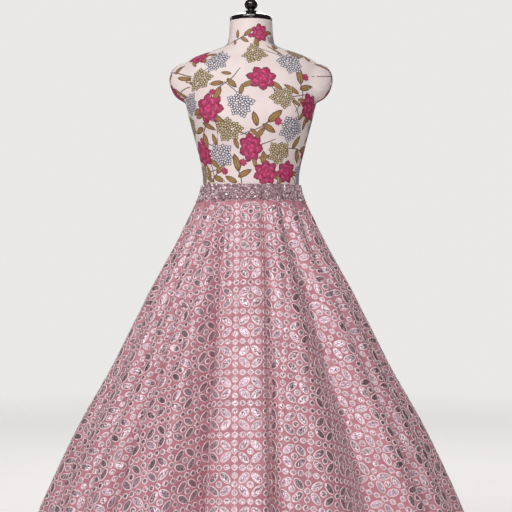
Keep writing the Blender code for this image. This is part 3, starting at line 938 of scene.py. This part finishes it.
# %% [markdown]
# Each seam is a slim welt: a low half-round profile carried along a path on the form. A path is
# two lists, azimuths and heights, and the welt's points stand off the surface along its normal.

# %% Form seams
SEAM_HALF_WIDTH = 0.0011
SEAM_RISE = 0.0007
SEAM_SINK = 0.0002
SEAM_STEPS = 90
SEAM_SIDES = 5


def seam_welt(azimuth, height, closed=False):
    """Five points across a path on the form, raised like a half circle, and their faces."""
    middle = form_at(azimuth, height)
    normal = form_normal(azimuth, height)
    step = np.roll(middle, -1, 0) - np.roll(middle, 1, 0) if closed else np.gradient(middle, axis=0)
    side = unit(np.cross(step, normal))
    across = np.linspace(-1, 1, SEAM_SIDES)[:, None]
    rise = SEAM_RISE * np.sqrt(1 - across ** 2) - SEAM_SINK
    points = middle[:, None] + side[:, None] * (across * SEAM_HALF_WIDTH) + normal[:, None] * rise
    if closed:
        points = np.concatenate([points, points[:1]])
    return points.reshape(-1, 3), grid_faces(len(points), SEAM_SIDES)


def gather(parts):
    """Several (points, faces) joined into one pair, with the faces' numbers moved along."""
    starts = np.cumsum([0] + [len(points) for points, _ in parts[:-1]])
    return (np.concatenate([points for points, _ in parts]),
            np.concatenate([faces + start for (_, faces), start in zip(parts, starts)]))


share = np.linspace(0, 1, SEAM_STEPS)
turn = around_circle(SEAM_STEPS)
seams = []
for side in (-1, 1):
    shoulder_height = SHOULDER_END_HEIGHT + 0.060 * np.sin(turn) * np.where(np.sin(turn) > 0, 0.82, 1)
    seams.append(seam_welt(side * np.radians(90) + np.radians(37) * np.cos(turn), shoulder_height,
                           closed=True))
    # Over the bust, down the side, beside the shoulder blade and up the neck: azimuth, top and fall
    for azimuth, top, fall in ((33 + 9 * share ** 3, 1.378, 0.60), (90 + 0 * share, 1.290, 0.52),
                               (148 - 4 * share, 1.400, 0.63), (90 + 0 * share, 1.510, 0.103)):
        seams.append(seam_welt(side * np.radians(azimuth), top - fall * share))
seams.append(seam_welt(np.radians(180 + 0 * share), 1.512 - 0.742 * share))
seam_points, seam_faces = gather(seams)
form_seams = make_piece("form_seams", seam_points, [seam_faces], cover)

# %% [markdown]
# ## The flower print
# The cotton is printed with a common sort of chintz: trailing brown stems, ochre leaves, deep pink
# roses and clusters of small grey and khaki flowers. The motifs here are plain ones of their kind,
# in a layout of their own. Each motif is a few flat shapes that are laid on the form a fraction of
# a millimetre up, in layers, so that the edges stay crisp at any size.

# %% Print shapes
Ink = namedtuple("Ink", "flat colour layer faces")
LAYER_STEP = 0.00008
PRINT_LIFT = 0.00022
STEM_WIDTH = 0.0032
STEM_BROWN = (0.100, 0.062, 0.042)
LEAF_OCHRE = (0.290, 0.140, 0.028)
LEAF_DARK = (0.075, 0.038, 0.016)
LEAF_LIGHT = (0.420, 0.240, 0.070)
ROSE_DEEP = (0.170, 0.003, 0.036)
ROSE_MIDDLE = (0.440, 0.008, 0.105)
ROSE_LIGHT = (0.740, 0.036, 0.210)
# A rose's rings of petals, from outside: how many, their length and width, and their middle's colour
ROSE_RINGS = ((7, 0.56, 0.44, ROSE_MIDDLE), (6, 0.42, 0.38, ROSE_LIGHT), (5, 0.29, 0.28, ROSE_MIDDLE),
              (3, 0.17, 0.19, ROSE_LIGHT))
# Leaves along a stem: how far back each starts, how it bends away, and its size
STEM_LEAVES = ((0.0, 0.35, 0.72), (0.25, -0.9, 0.62), (0.5, 1.3, 0.58), (0.8, -1.2, 0.42))
# The line and the petals of a cluster of small flowers
CLUSTER_INKS = {"grey": ((0.075, 0.070, 0.085), (0.760, 0.720, 0.800)),
                "khaki": ((0.110, 0.075, 0.030), (0.620, 0.500, 0.300))}


def polar(distance, way, x=0.0, y=0.0):
    """The point at a distance from (x, y) in the direction of an angle."""
    return x + distance * math.cos(way), y + distance * math.sin(way)


def petal_ink(x, y, length, width, lean, edge, middle, layer, corners=9, tip=0.15):
    """A petal or leaf: an oval whose far end is drawn out by tip, its colour from edge to middle."""
    turn = around_circle(corners)
    along = np.cos(turn) + tip * np.maximum(np.cos(turn), 0) ** 6
    outline = np.stack([(along + 1) * length / 2, np.sin(turn) * width / 2], -1)
    flat = np.concatenate([outline, outline * 0.62 + [length * 0.19, 0], [[length * 0.5, 0]]])
    spin = np.array([[math.cos(lean), math.sin(lean)], [-math.sin(lean), math.cos(lean)]])
    strip = grid_faces(2, corners, closed=True)[:, [0, 3, 2, 1]]
    fan = fan_faces(np.arange(corners) + corners, 2 * corners)[:, [1, 2, 0, 0]]
    colour = np.array([edge] * corners + [middle] * (corners + 1))
    return Ink(flat @ spin + [x, y], colour, np.full(len(flat), layer), np.concatenate([strip, fan]))


def stem_ink(points, width, colour, layer=0):
    """A stem: a smooth curve through a few points, with the given width, thinner towards its end."""
    knots = np.column_stack([np.arange(len(points)), points])
    curve = smooth_table(knots, np.linspace(0, len(points) - 1, 14))
    side = unit(np.gradient(curve, axis=0)[:, ::-1] * [-1, 1])
    half = width / 2 * np.linspace(1, 0.55, len(curve))[:, None]
    flat = np.stack([curve - side * half, curve + side * half], 1).reshape(-1, 2)
    return Ink(flat, np.array([colour] * len(flat)), np.full(len(flat), layer), grid_faces(len(curve), 2))


def leaf_spray(x, y, lean, size):
    """A leaf with a darker edge and a drawn vein."""
    start, middle, end = (polar(size * reach, lean, x, y) for reach in (0.068, 0.425, 0.85))
    return [petal_ink(x, y, size, size * 0.46, lean, LEAF_DARK, LEAF_OCHRE, 2, tip=0.30),
            petal_ink(*start, size * 0.82, size * 0.30, lean, LEAF_OCHRE, LEAF_LIGHT, 3, tip=0.30),
            stem_ink([(x, y), middle, end], size * 0.05, LEAF_DARK, 4)]


def rose(x, y, size, lean):
    """A full rose: rings of petals that get smaller and brighter towards the heart."""
    inks = []
    for ring, (count, reach, span, middle) in enumerate(ROSE_RINGS):
        for petal in range(count):
            turn = lean + ring * 0.5 + petal / count * 2 * math.pi
            inks.append(petal_ink(x, y, size * reach, size * span, turn, ROSE_DEEP, middle,
                                  3 + ring * 2 + petal % 2))
    return inks


def flower_cluster(x, y, size, lean, line, petal_colour):
    """A head of small four-petalled flowers, drawn in dark outline with pale petals."""
    inks = []
    bright = [c * 1.15 for c in petal_colour]
    for flower in range(14):
        turn = lean + flower * 2.4
        middle = polar(size * 0.128 * math.sqrt(flower + 0.3), turn, x, y)
        layer = 3 + flower % 3 * 2
        for way in (turn + petal * math.pi / 2 for petal in range(4)):
            inks.append(petal_ink(*middle, size * 0.155, size * 0.140, way, line, line, layer, 7))
            inks.append(petal_ink(*polar(size * 0.030, way, *middle), size * 0.094, size * 0.080, way,
                                  petal_colour, bright, layer + 1, 6))
    return inks


# %% Print layout
SPRAY_SCALE = 1.25
# Azimuth in degrees from the front, height in mm, turn in degrees, size in mm, kind
SPRAYS = (
    (-18, 1470, 20, 30, "leaves"), (24, 1478, 150, 34, "rose"), (62, 1456, 70, 30, "grey"),
    (118, 1470, 10, 34, "leaves"), (170, 1476, 210, 36, "rose"), (-140, 1466, 60, 32, "khaki"),
    (-84, 1450, 300, 34, "grey"), (4, 1424, 260, 44, "khaki"), (-30, 1400, 40, 46, "grey"),
    (34, 1396, 320, 48, "grey"), (-58, 1414, 190, 40, "rose"), (60, 1424, 130, 44, "khaki"),
    (92, 1372, 15, 44, "grey"), (-94, 1378, 160, 46, "leaves"), (90, 1322, 240, 46, "rose"),
    (-88, 1320, 60, 44, "rose"), (8, 1352, 120, 52, "rose"), (-24, 1330, 230, 46, "leaves"),
    (-46, 1350, 10, 48, "khaki"), (44, 1338, 80, 50, "leaves"), (26, 1300, 200, 48, "khaki"),
    (-8, 1282, 300, 50, "grey"), (-36, 1272, 90, 56, "rose"), (-66, 1288, 330, 46, "grey"),
    (62, 1278, 170, 54, "rose"), (14, 1236, 30, 48, "leaves"), (40, 1222, 280, 52, "grey"),
    (-20, 1216, 150, 50, "khaki"), (-52, 1212, 250, 46, "leaves"), (-82, 1232, 40, 50, "khaki"),
    (86, 1232, 100, 46, "grey"), (0, 1172, 200, 54, "rose"), (30, 1160, 60, 46, "khaki"),
    (-34, 1156, 320, 50, "grey"), (-64, 1160, 110, 50, "rose"), (64, 1168, 350, 48, "leaves"),
    (-14, 1112, 80, 46, "leaves"), (18, 1108, 250, 46, "rose"), (46, 1112, 140, 42, "rose"),
    (-44, 1108, 30, 44, "leaves"), (-76, 1106, 200, 44, "khaki"), (80, 1110, 300, 44, "grey"),
    (140, 1412, 80, 46, "grey"), (-150, 1404, 200, 48, "rose"), (174, 1398, 310, 46, "leaves"),
    (-122, 1412, 120, 42, "leaves"), (122, 1356, 230, 50, "rose"), (156, 1340, 20, 52, "khaki"),
    (-164, 1336, 140, 50, "grey"), (-126, 1344, 290, 50, "khaki"), (108, 1290, 60, 46, "leaves"),
    (138, 1280, 330, 54, "grey"), (172, 1276, 250, 56, "rose"), (-146, 1274, 30, 46, "leaves"),
    (-112, 1284, 180, 54, "rose"), (116, 1222, 100, 50, "khaki"), (152, 1216, 200, 46, "leaves"),
    (-170, 1212, 340, 50, "khaki"), (-132, 1208, 60, 50, "grey"), (-104, 1200, 240, 46, "leaves"),
    (100, 1166, 30, 50, "rose"), (132, 1156, 290, 48, "grey"), (166, 1150, 100, 52, "rose"),
    (-156, 1148, 220, 46, "leaves"), (-120, 1146, 150, 50, "khaki"), (112, 1106, 70, 44, "leaves"),
    (144, 1104, 190, 44, "khaki"), (178, 1102, 10, 44, "grey"), (-138, 1102, 320, 46, "rose"),
    (-106, 1104, 110, 42, "grey"),
)


def spray_inks(turn, size, kind):
    """The shapes of one spray round its own middle: a trailing stem, its head and its leaves."""
    lean = math.radians(turn)
    size = size * SPRAY_SCALE
    tail = [(0, 0), polar(-size * 0.55, lean, x=size * 0.2), polar(-size * 1.30, lean, y=-size * 0.1)]
    inks = [stem_ink(tail, STEM_WIDTH, STEM_BROWN)]
    if kind == "rose":
        inks += rose(0, 0, size, lean)
        inks += leaf_spray(*polar(-size * 0.40, lean + 0.7), lean + 3.6, size * 0.55)
        inks += leaf_spray(*polar(size * 0.36, lean + 1.5), lean + 1.7, size * 0.50)
    elif kind == "leaves":
        for share, bend, scale in STEM_LEAVES:
            inks += leaf_spray(*polar(-size * share, lean), lean + bend, size * scale)
        inks += rose(*polar(size * 0.45, lean - 0.3), size * 0.30, lean)
    else:
        inks += flower_cluster(0, 0, size, lean, *CLUSTER_INKS[kind])
        inks += leaf_spray(*polar(-size * 0.42, lean - 0.6), lean + 2.4, size * 0.45)
    return inks


def lay_print(azimuth, height, inks):
    """A spray's flat points on the form: the steps across and up become steps of azimuth and height.

    The surface's own steps for a small turn and a small rise, at the spray's middle, say how.
    """
    step = 0.002
    right = (form_at(azimuth + step, height) - form_at(azimuth - step, height)) / (2 * step)
    up = (form_at(azimuth, height + step) - form_at(azimuth, height - step)) / (2 * step)
    up_way = unit(up)
    right_way = unit(right - up_way * (right @ up_way))
    to_surface = np.linalg.pinv(np.stack([right, up], -1)) @ np.stack([right_way, up_way], -1)
    turned, raised = to_surface @ np.concatenate([ink.flat for ink in inks]).T
    turned = azimuth + turned
    raised = np.minimum(height + raised, NECK_TOP - 0.0005)
    lift = PRINT_LIFT + LAYER_STEP * np.concatenate([ink.layer for ink in inks])
    return form_at(turned, raised) + form_normal(turned, raised) * lift[:, None]


points, faces, colours, start = [], [], [], 0
for azimuth, height, turn, size, kind in SPRAYS:
    inks = spray_inks(turn, size / 1000, kind)
    points.append(lay_print(math.radians(azimuth), height / 1000, inks))
    for ink in inks:
        faces.append(ink.faces + start)
        colours.append(ink.colour)
        start += len(ink.flat)
points, faces, colours = np.concatenate(points), np.concatenate(faces), np.concatenate(colours)
is_triangle = faces[:, 2] == faces[:, 3]
print(len(SPRAYS), "sprays,", len(faces), "faces")

# %% Print piece
look = Finish("printed_ink")
tones = look.uneven(look.object_place(), 120.0)
faded = look.tint(look.stored("print_colour", "Color"), tones["Broad"], 0.08, (0.800, 0.655, 0.640))
faded = look.tint(faded, tones["Fine"], 0.18, (0.100, 0.060, 0.050))
ink_colour = look.done(faded, look.between(tones["Fine"], 0.70, 0.85))
flower_print = make_piece("flower_print", points, [faces[is_triangle, :3], faces[~is_triangle]], ink_colour)
add_point_values(flower_print, "print_colour", np.column_stack([colours, np.ones(len(colours))]))

# %% [markdown]
# ## The waistband
# The band is a stiffened strip that closes at the middle of the back. It follows the form, so it is
# the form's own surface moved outwards: a rounded box-shaped section carried round the waist. Its
# two ends are closed and meet with a hair of space between them.

# %% Waistband strip
BAND_EASE = 0.00045
BAND_WALL = 0.0036
BAND_COLUMNS = 150
BAND_EDGE_ROUND = 0.0012
BAND_BOTTOM = BAND_TOP - BAND_HEIGHT
WAIST_RADIUS = 0.106

look = Finish("stiffened_band_cloth", Sheen_Weight=0.1)
flat_map = look.flat_cloth()
tones = look.uneven(flat_map, 30.0)
threads = look.weave(flat_map, 0.0008)
mauve = look.mix(tones["Broad"], (0.330, 0.150, 0.190), (0.440, 0.230, 0.270))
mauve = look.tint(mauve, threads["Gap"], 0.5, (0.120, 0.050, 0.065))
band_weave = look.done(mauve, look.between(tones["Fine"], 0.55, 0.75), threads["Height"], 0.5, 0.0003)


def level_outwards(azimuth, height):
    """The form's outward direction, laid level."""
    return unit(form_normal(azimuth, height) * [1.0, 1.0, 0.0])


half_gap = SEAM_GAP / 2 / WAIST_RADIUS
band_turns = np.linspace(-np.pi + half_gap, np.pi - half_gap, BAND_COLUMNS)
inset = BAND_EDGE_ROUND * 0.3
# Columns: how far out of the wall, and height, going down the outside and up the inside
band_section = np.array(
    [(1 - inset / BAND_WALL, BAND_TOP - inset * 0.4), (1, BAND_TOP - BAND_EDGE_ROUND)]
    + [(1, height) for height in np.linspace(BAND_TOP - 0.006, BAND_BOTTOM + 0.006, 5)]
    + [(1, BAND_BOTTOM + BAND_EDGE_ROUND), (1 - inset / BAND_WALL, BAND_BOTTOM + inset * 0.4),
       (0.6, BAND_BOTTOM), (0, BAND_BOTTOM), (0, BAND_TOP - 0.020), (0, BAND_TOP), (0.6, BAND_TOP)])
out, high = band_section.T
turns, high = np.broadcast_arrays(band_turns[None], high[:, None])
band_points = (form_at(turns, high)
               + level_outwards(turns, high) * (BAND_EASE + out[:, None] * BAND_WALL)[..., None])
section_count = len(band_section)
strip = grid_faces(section_count + 1, BAND_COLUMNS) % (section_count * BAND_COLUMNS)
left_end = np.arange(section_count)[None] * BAND_COLUMNS
right_end = left_end[:, ::-1] + BAND_COLUMNS - 1
waistband = make_piece("waistband_strip", band_points, [strip, left_end, right_end], band_weave)
waist_length = float(lengths_along(band_points[5:6])[0, -1])
add_flat_map(waistband, np.stack([turns / (2 * np.pi) * waist_length, high], -1))
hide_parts("waistband")
print("waistband", round(waist_length, 3), "m round")

# %% [markdown]
# ## Beading on the band
# The band is packed with small cut beads and bugles in silver, lilac and smoke, sewn at all angles.
# A bead is a cut gem with four sides and pointed ends, scaled long for a bugle and short for a bead.
# They are placed on a loose grid over the band, nudged by seeded chance, so no two rows match.

# %% Beads
BEADS_AROUND = 250
BEADS_UP = 12
BEAD_LENGTHS = (0.0030, 0.0072)
BEAD_WIDTHS = (0.0021, 0.0038)
BEADS_HANG = 0.0035
BEAD_REST = 0.0008
BEADS_FROM_SEAM = 0.012

look = Finish("silvered_cut_glass", Coat_Weight=0.5, Coat_Roughness=0.08)
tone = look.stored("tone", "Fac")
place = look.object_place()
tones = look.uneven(place, 300.0)
shades = look.add("ShaderNodeValToRGB", [tone])[0]
stops = shades.node.color_ramp.elements
stops[0].color = (0.130, 0.070, 0.090, 1)
stops[1].color = (1.000, 0.920, 0.960, 1)
for position, colour in ((0.25, (0.420, 0.255, 0.300, 1)), (0.55, (0.820, 0.590, 0.650, 1)),
                         (0.80, (1.000, 0.860, 0.910, 1))):
    stops.new(position).color = colour
glass = look.tint(shades, tones["Broad"], 0.15, (0.200, 0.120, 0.150))
dull = look.remap(look.noise(place, 85.0, detail=1.0)[0], 0.38, 0.54, 0.45, 0.0)
glass = look.mix(dull, glass, (0.190, 0.090, 0.115))
look.fill(look.shader["Metallic"], look.between(tone, 0.05, 0.60))
cut_glass = look.done(glass, look.between(tones["Fine"], 0.16, 0.34))

corner = around_circle(4)
gem_rings = [np.stack([np.full(4, x), np.cos(corner), np.sin(corner)], -1) for x in (-0.6, 0.6)]
gem_points = np.concatenate(gem_rings + [[[-1, 0, 0], [1, 0, 0]]])
gem_sides = grid_faces(2, 4, closed=True)[:, ::-1]
gem_tips = np.concatenate([fan_faces(np.arange(4), 8), fan_faces(np.arange(4) + 4, 9)[:, ::-1]])

turn_index, up_index = (index.ravel() for index in np.meshgrid(np.arange(BEADS_AROUND), np.arange(BEADS_UP)))
count = len(turn_index)
bead_turn = turn_index + 0.5 * (up_index % 2) + random.uniform(-0.35, 0.35, count)
bead_turn = bead_turn / BEADS_AROUND * 2 * np.pi - np.pi
bead_turn = np.clip(bead_turn, BEADS_FROM_SEAM - np.pi, np.pi - BEADS_FROM_SEAM)
bead_rise = (up_index + 0.5 + random.uniform(-0.45, 0.45, count)) / BEADS_UP
bead_height = BAND_BOTTOM - BEADS_HANG + bead_rise * (BAND_HEIGHT + BEADS_HANG)
hanging = np.maximum(0, BAND_BOTTOM + 0.001 - bead_height) * 0.55
outwards = level_outwards(bead_turn, bead_height)
middles = (form_at(bead_turn, bead_height)
           + outwards * (BAND_EASE + BAND_WALL + BEAD_REST + hanging)[:, None])
lean = random.uniform(0, np.pi, count)[:, None]
tip_up = random.normal(0, 0.16, count)[:, None]
upright = np.array([0.0, 0.0, 1.0])
long_way = unit(np.cos(lean) * np.cross(upright, outwards) + np.sin(lean) * upright + tip_up * outwards)
side_way = unit(np.cross(outwards, long_way))
up_way = np.cross(long_way, side_way)
spin = random.uniform(0, np.pi, count)[:, None]
side_way, up_way = (side_way * np.cos(spin) + up_way * np.sin(spin),
                    up_way * np.cos(spin) - side_way * np.sin(spin))
lengths = random.uniform(*BEAD_LENGTHS, count)[:, None, None] / 2
widths = random.uniform(*BEAD_WIDTHS, count)[:, None, None] / 2
bead_points = middles[:, None] + sum(
    gem_points[None, :, axis:axis + 1] * scale * way[:, None]
    for axis, (scale, way) in enumerate(((lengths, long_way), (widths, side_way), (widths, up_way))))
beads = make_piece("band_beading", bead_points,
                   [copied_faces(faces, count, len(gem_points)) for faces in (gem_sides, gem_tips)],
                   cut_glass, smooth=False)
add_point_values(beads, "tone", np.repeat(random.random(count), len(gem_points)))

# %% [markdown]
# ## Turned pieces
# The neck cap with its finial, the pole and the round base are turned: a profile is carried round
# the upright axis. The solids have the same profiles with fewer sides, and these are round enough
# for the long soft highlights on gloss paint.

# %% Cap, pole and base
TURNED_SIDES = 96
CAP_MIDDLE_Y = 0.005
# Radius and height above the neck's top, in millimetres
CAP_PROFILE = np.array([
    (0, 67.5), (2, 67.2), (3.5, 66.5), (4.6, 65), (5, 63.5), (5.5, 60), (8.5, 59.2),
    (11, 58), (13.8, 55.7), (15.7, 53), (17.2, 49.6), (17.7, 46), (17.2, 42.4), (16, 39),
    (13.8, 36.1), (11.5, 34), (10, 32.5), (9.5, 31), (10, 29.6), (12, 28.5), (18, 27.7),
    (23.5, 26.5), (25.4, 25.3), (26, 24), (27.2, 22.8), (30, 21.5), (36, 18.9), (42, 16.5),
    (48, 14.4), (53.5, 12.5), (55.5, 11.3), (56, 10), (56, 6), (56, 1.5), (55.6, 0.5),
    (54.5, 0), (0, 0),
]) / 1000
POLE_RADIUS = 0.0125
POLE_EDGE = 0.0008
# Radius and height above the floor, in millimetres
BASE_PROFILE = np.array([
    (0, 14), (30, 14), (36.5, 13.9), (38, 13.7), (100, 11.1), (170, 8.7), (186, 8.1),
    (188.5, 7.4), (189.7, 6.2), (190, 4.8), (190, 0.6), (189.6, 0), (0, 0),
]) / 1000


def turned(name, profile, bottom, middle_y, material, node):
    """A profile of radius and height carried round the axis; its ends are single points."""
    radius, rise = profile.T[..., None]
    turn = around_circle(TURNED_SIDES)
    rings = np.stack(np.broadcast_arrays(radius * np.sin(turn), middle_y - radius * np.cos(turn),
                                         bottom + rise), -1)
    points = np.concatenate([rings[1:-1].reshape(-1, 3), rings[[0, -1], 0]])
    piece = make_piece(name, points, capped_faces(len(profile) - 2, TURNED_SIDES), material)
    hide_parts(node)
    return piece


look = Finish("black_gloss_paint", Coat_Weight=0.6, Coat_Roughness=0.06)
tones = look.uneven(look.object_place(), 40.0)
black_gloss = look.done(look.mix(tones["Broad"], (0.006, 0.006, 0.007), (0.014, 0.012, 0.012)),
                        look.between(tones["Fine"], 0.07, 0.15), tones["Broad"], 0.05, 0.0004)

look = Finish("satin_black_stand_paint")
tones = look.uneven(look.object_place(), 60.0)
stand_paint = look.done(look.mix(tones["Broad"], (0.016, 0.016, 0.017), (0.026, 0.025, 0.025)),
                        look.between(tones["Fine"], 0.30, 0.46), tones["Fine"], 0.25, 0.0003)

cap = turned("neck_cap_turned", CAP_PROFILE, NECK_TOP + SEAM_GAP, CAP_MIDDLE_Y, black_gloss, "neck_cap")
base = turned("stand_base_turned", BASE_PROFILE, 0.0, 0.0, stand_paint, "stand_base")
pole_bottom, pole_top = BASE_PROFILE[0, 1] + SEAM_GAP, FORM_BOTTOM - SEAM_GAP
pole_profile = np.array([
    (0.0, pole_top), (POLE_RADIUS - POLE_EDGE, pole_top), (POLE_RADIUS, pole_top - POLE_EDGE),
    (POLE_RADIUS, 0.40), (POLE_RADIUS, pole_bottom), (0.0, pole_bottom)])
pole = turned("stand_pole_turned", pole_profile, 0.0, 0.0, stand_paint, "stand_pole")

# %% [markdown]
# ## Floor and light
# The floor is a plain pale disc that fades into the pale surroundings, so no horizon cuts through
# the skirt. The camera sees pale surroundings, but the foils reflect dim ones, as in a studio: then
# a foil is bright only where it turns towards a soft box, and the rest stay smoky. A wide soft
# box hangs high in front, a little to the left, with a small key beside it and a weak fill below
# them. Two strips stand behind for the edges, and a panel lights the back.

# %% Floor
FLOOR_RADIUS = 6.0
FLOOR_SIDES = 64
look = Finish("pale_floor", Specular_IOR_Level=0.2, Emission_Strength=0.30,
              Emission_Color=(1.0, 0.985, 0.970))
place = look.object_place()
tones = look.uneven(place, 1.5)
look.fill(look.shader["Alpha"], look.remap(look.vector("LENGTH", place), 1.6, 5.5, 1.0, 0.0))
floor_paint = look.done(look.mix(tones["Broad"], (0.760, 0.750, 0.740), (0.790, 0.780, 0.770)),
                        look.between(tones["Fine"], 0.60, 0.70))
turn = around_circle(FLOOR_SIDES)
floor_points = FLOOR_RADIUS * np.stack([np.cos(turn), np.sin(turn), 0 * turn], -1)
floor_mesh = bpy.data.meshes.new("floor")
floor_mesh.from_pydata(floor_points.tolist(), [], [list(range(FLOOR_SIDES))])
floor_mesh.materials.append(floor_paint)
floor = bpy.data.objects.new("floor", floor_mesh)
scene.collection.objects.link(floor)
print("floor", 2 * FLOOR_RADIUS, "m across")

# %% Surroundings
world = bpy.data.worlds.new("studio")
scene.world = world
world.use_nodes = True
world.node_tree.nodes.clear()
air = Nodes(world.node_tree)
ray = air.add("ShaderNodeLightPath")
direction = air.add("ShaderNodeTexCoord")["Generated"]
upwards = air.add("ShaderNodeSeparateXYZ", [direction])[2]
dim = air.mix(air.remap(upwards, -0.3, 1.0, 0.0, 1.0), (0.105, 0.098, 0.098), (0.175, 0.168, 0.170))
smoky = air.mix(air.remap(upwards, -0.2, 1.0, 0.0, 1.0), (0.075, 0.036, 0.038), (0.150, 0.090, 0.094))
dim = air.mix(ray["Is Glossy Ray"], dim, smoky)
seen = air.mix(ray["Is Camera Ray"], dim, (0.820, 0.810, 0.800))
air.add("ShaderNodeOutputWorld", air.add("ShaderNodeBackground", [seen, 1.0])[:1])
print("surroundings:", world.name)


# %% Lamps
def soft_box(name, place, target, width, height, power, colour=(1.0, 1.0, 1.0)):
    """A rectangular area light at a place, turned to face a target."""
    light = bpy.data.lights.new(name, "AREA")
    light.shape = "RECTANGLE"
    light.size, light.size_y = width, height
    light.energy = power
    light.color = colour
    lamp = bpy.data.objects.new(name, light)
    lamp.location = place
    away = np.array(target) - np.array(place)
    lamp.rotation_euler = (math.acos(-away[2] / np.linalg.norm(away)), 0, math.atan2(-away[0], away[1]))
    scene.collection.objects.link(lamp)


soft_box("key", (-0.80, -2.6, 2.9), (0, -0.3, 0.8), 0.7, 0.7, 18, (1.0, 0.985, 0.97))
soft_box("front_panel", (-0.60, -2.75, 2.9), (0, -0.3, 0.6), 3.6, 1.5, 74)
soft_box("fill", (0.0, -4.3, 1.2), (0, 0, 0.8), 1.2, 1.2, 9, (0.97, 0.98, 1.0))
soft_box("left_edge", (-2.3, 2.7, 2.0), (0, 0, 0.8), 0.8, 2.0, 7)
soft_box("right_edge", (2.2, 3.0, 2.0), (0, 0, 0.8), 0.8, 2.0, 5)
soft_box("back_panel", (0.3, 2.9, 2.9), (0, 0.3, 0.7), 2.6, 1.5, 54)
scene.view_settings.view_transform = "Standard"
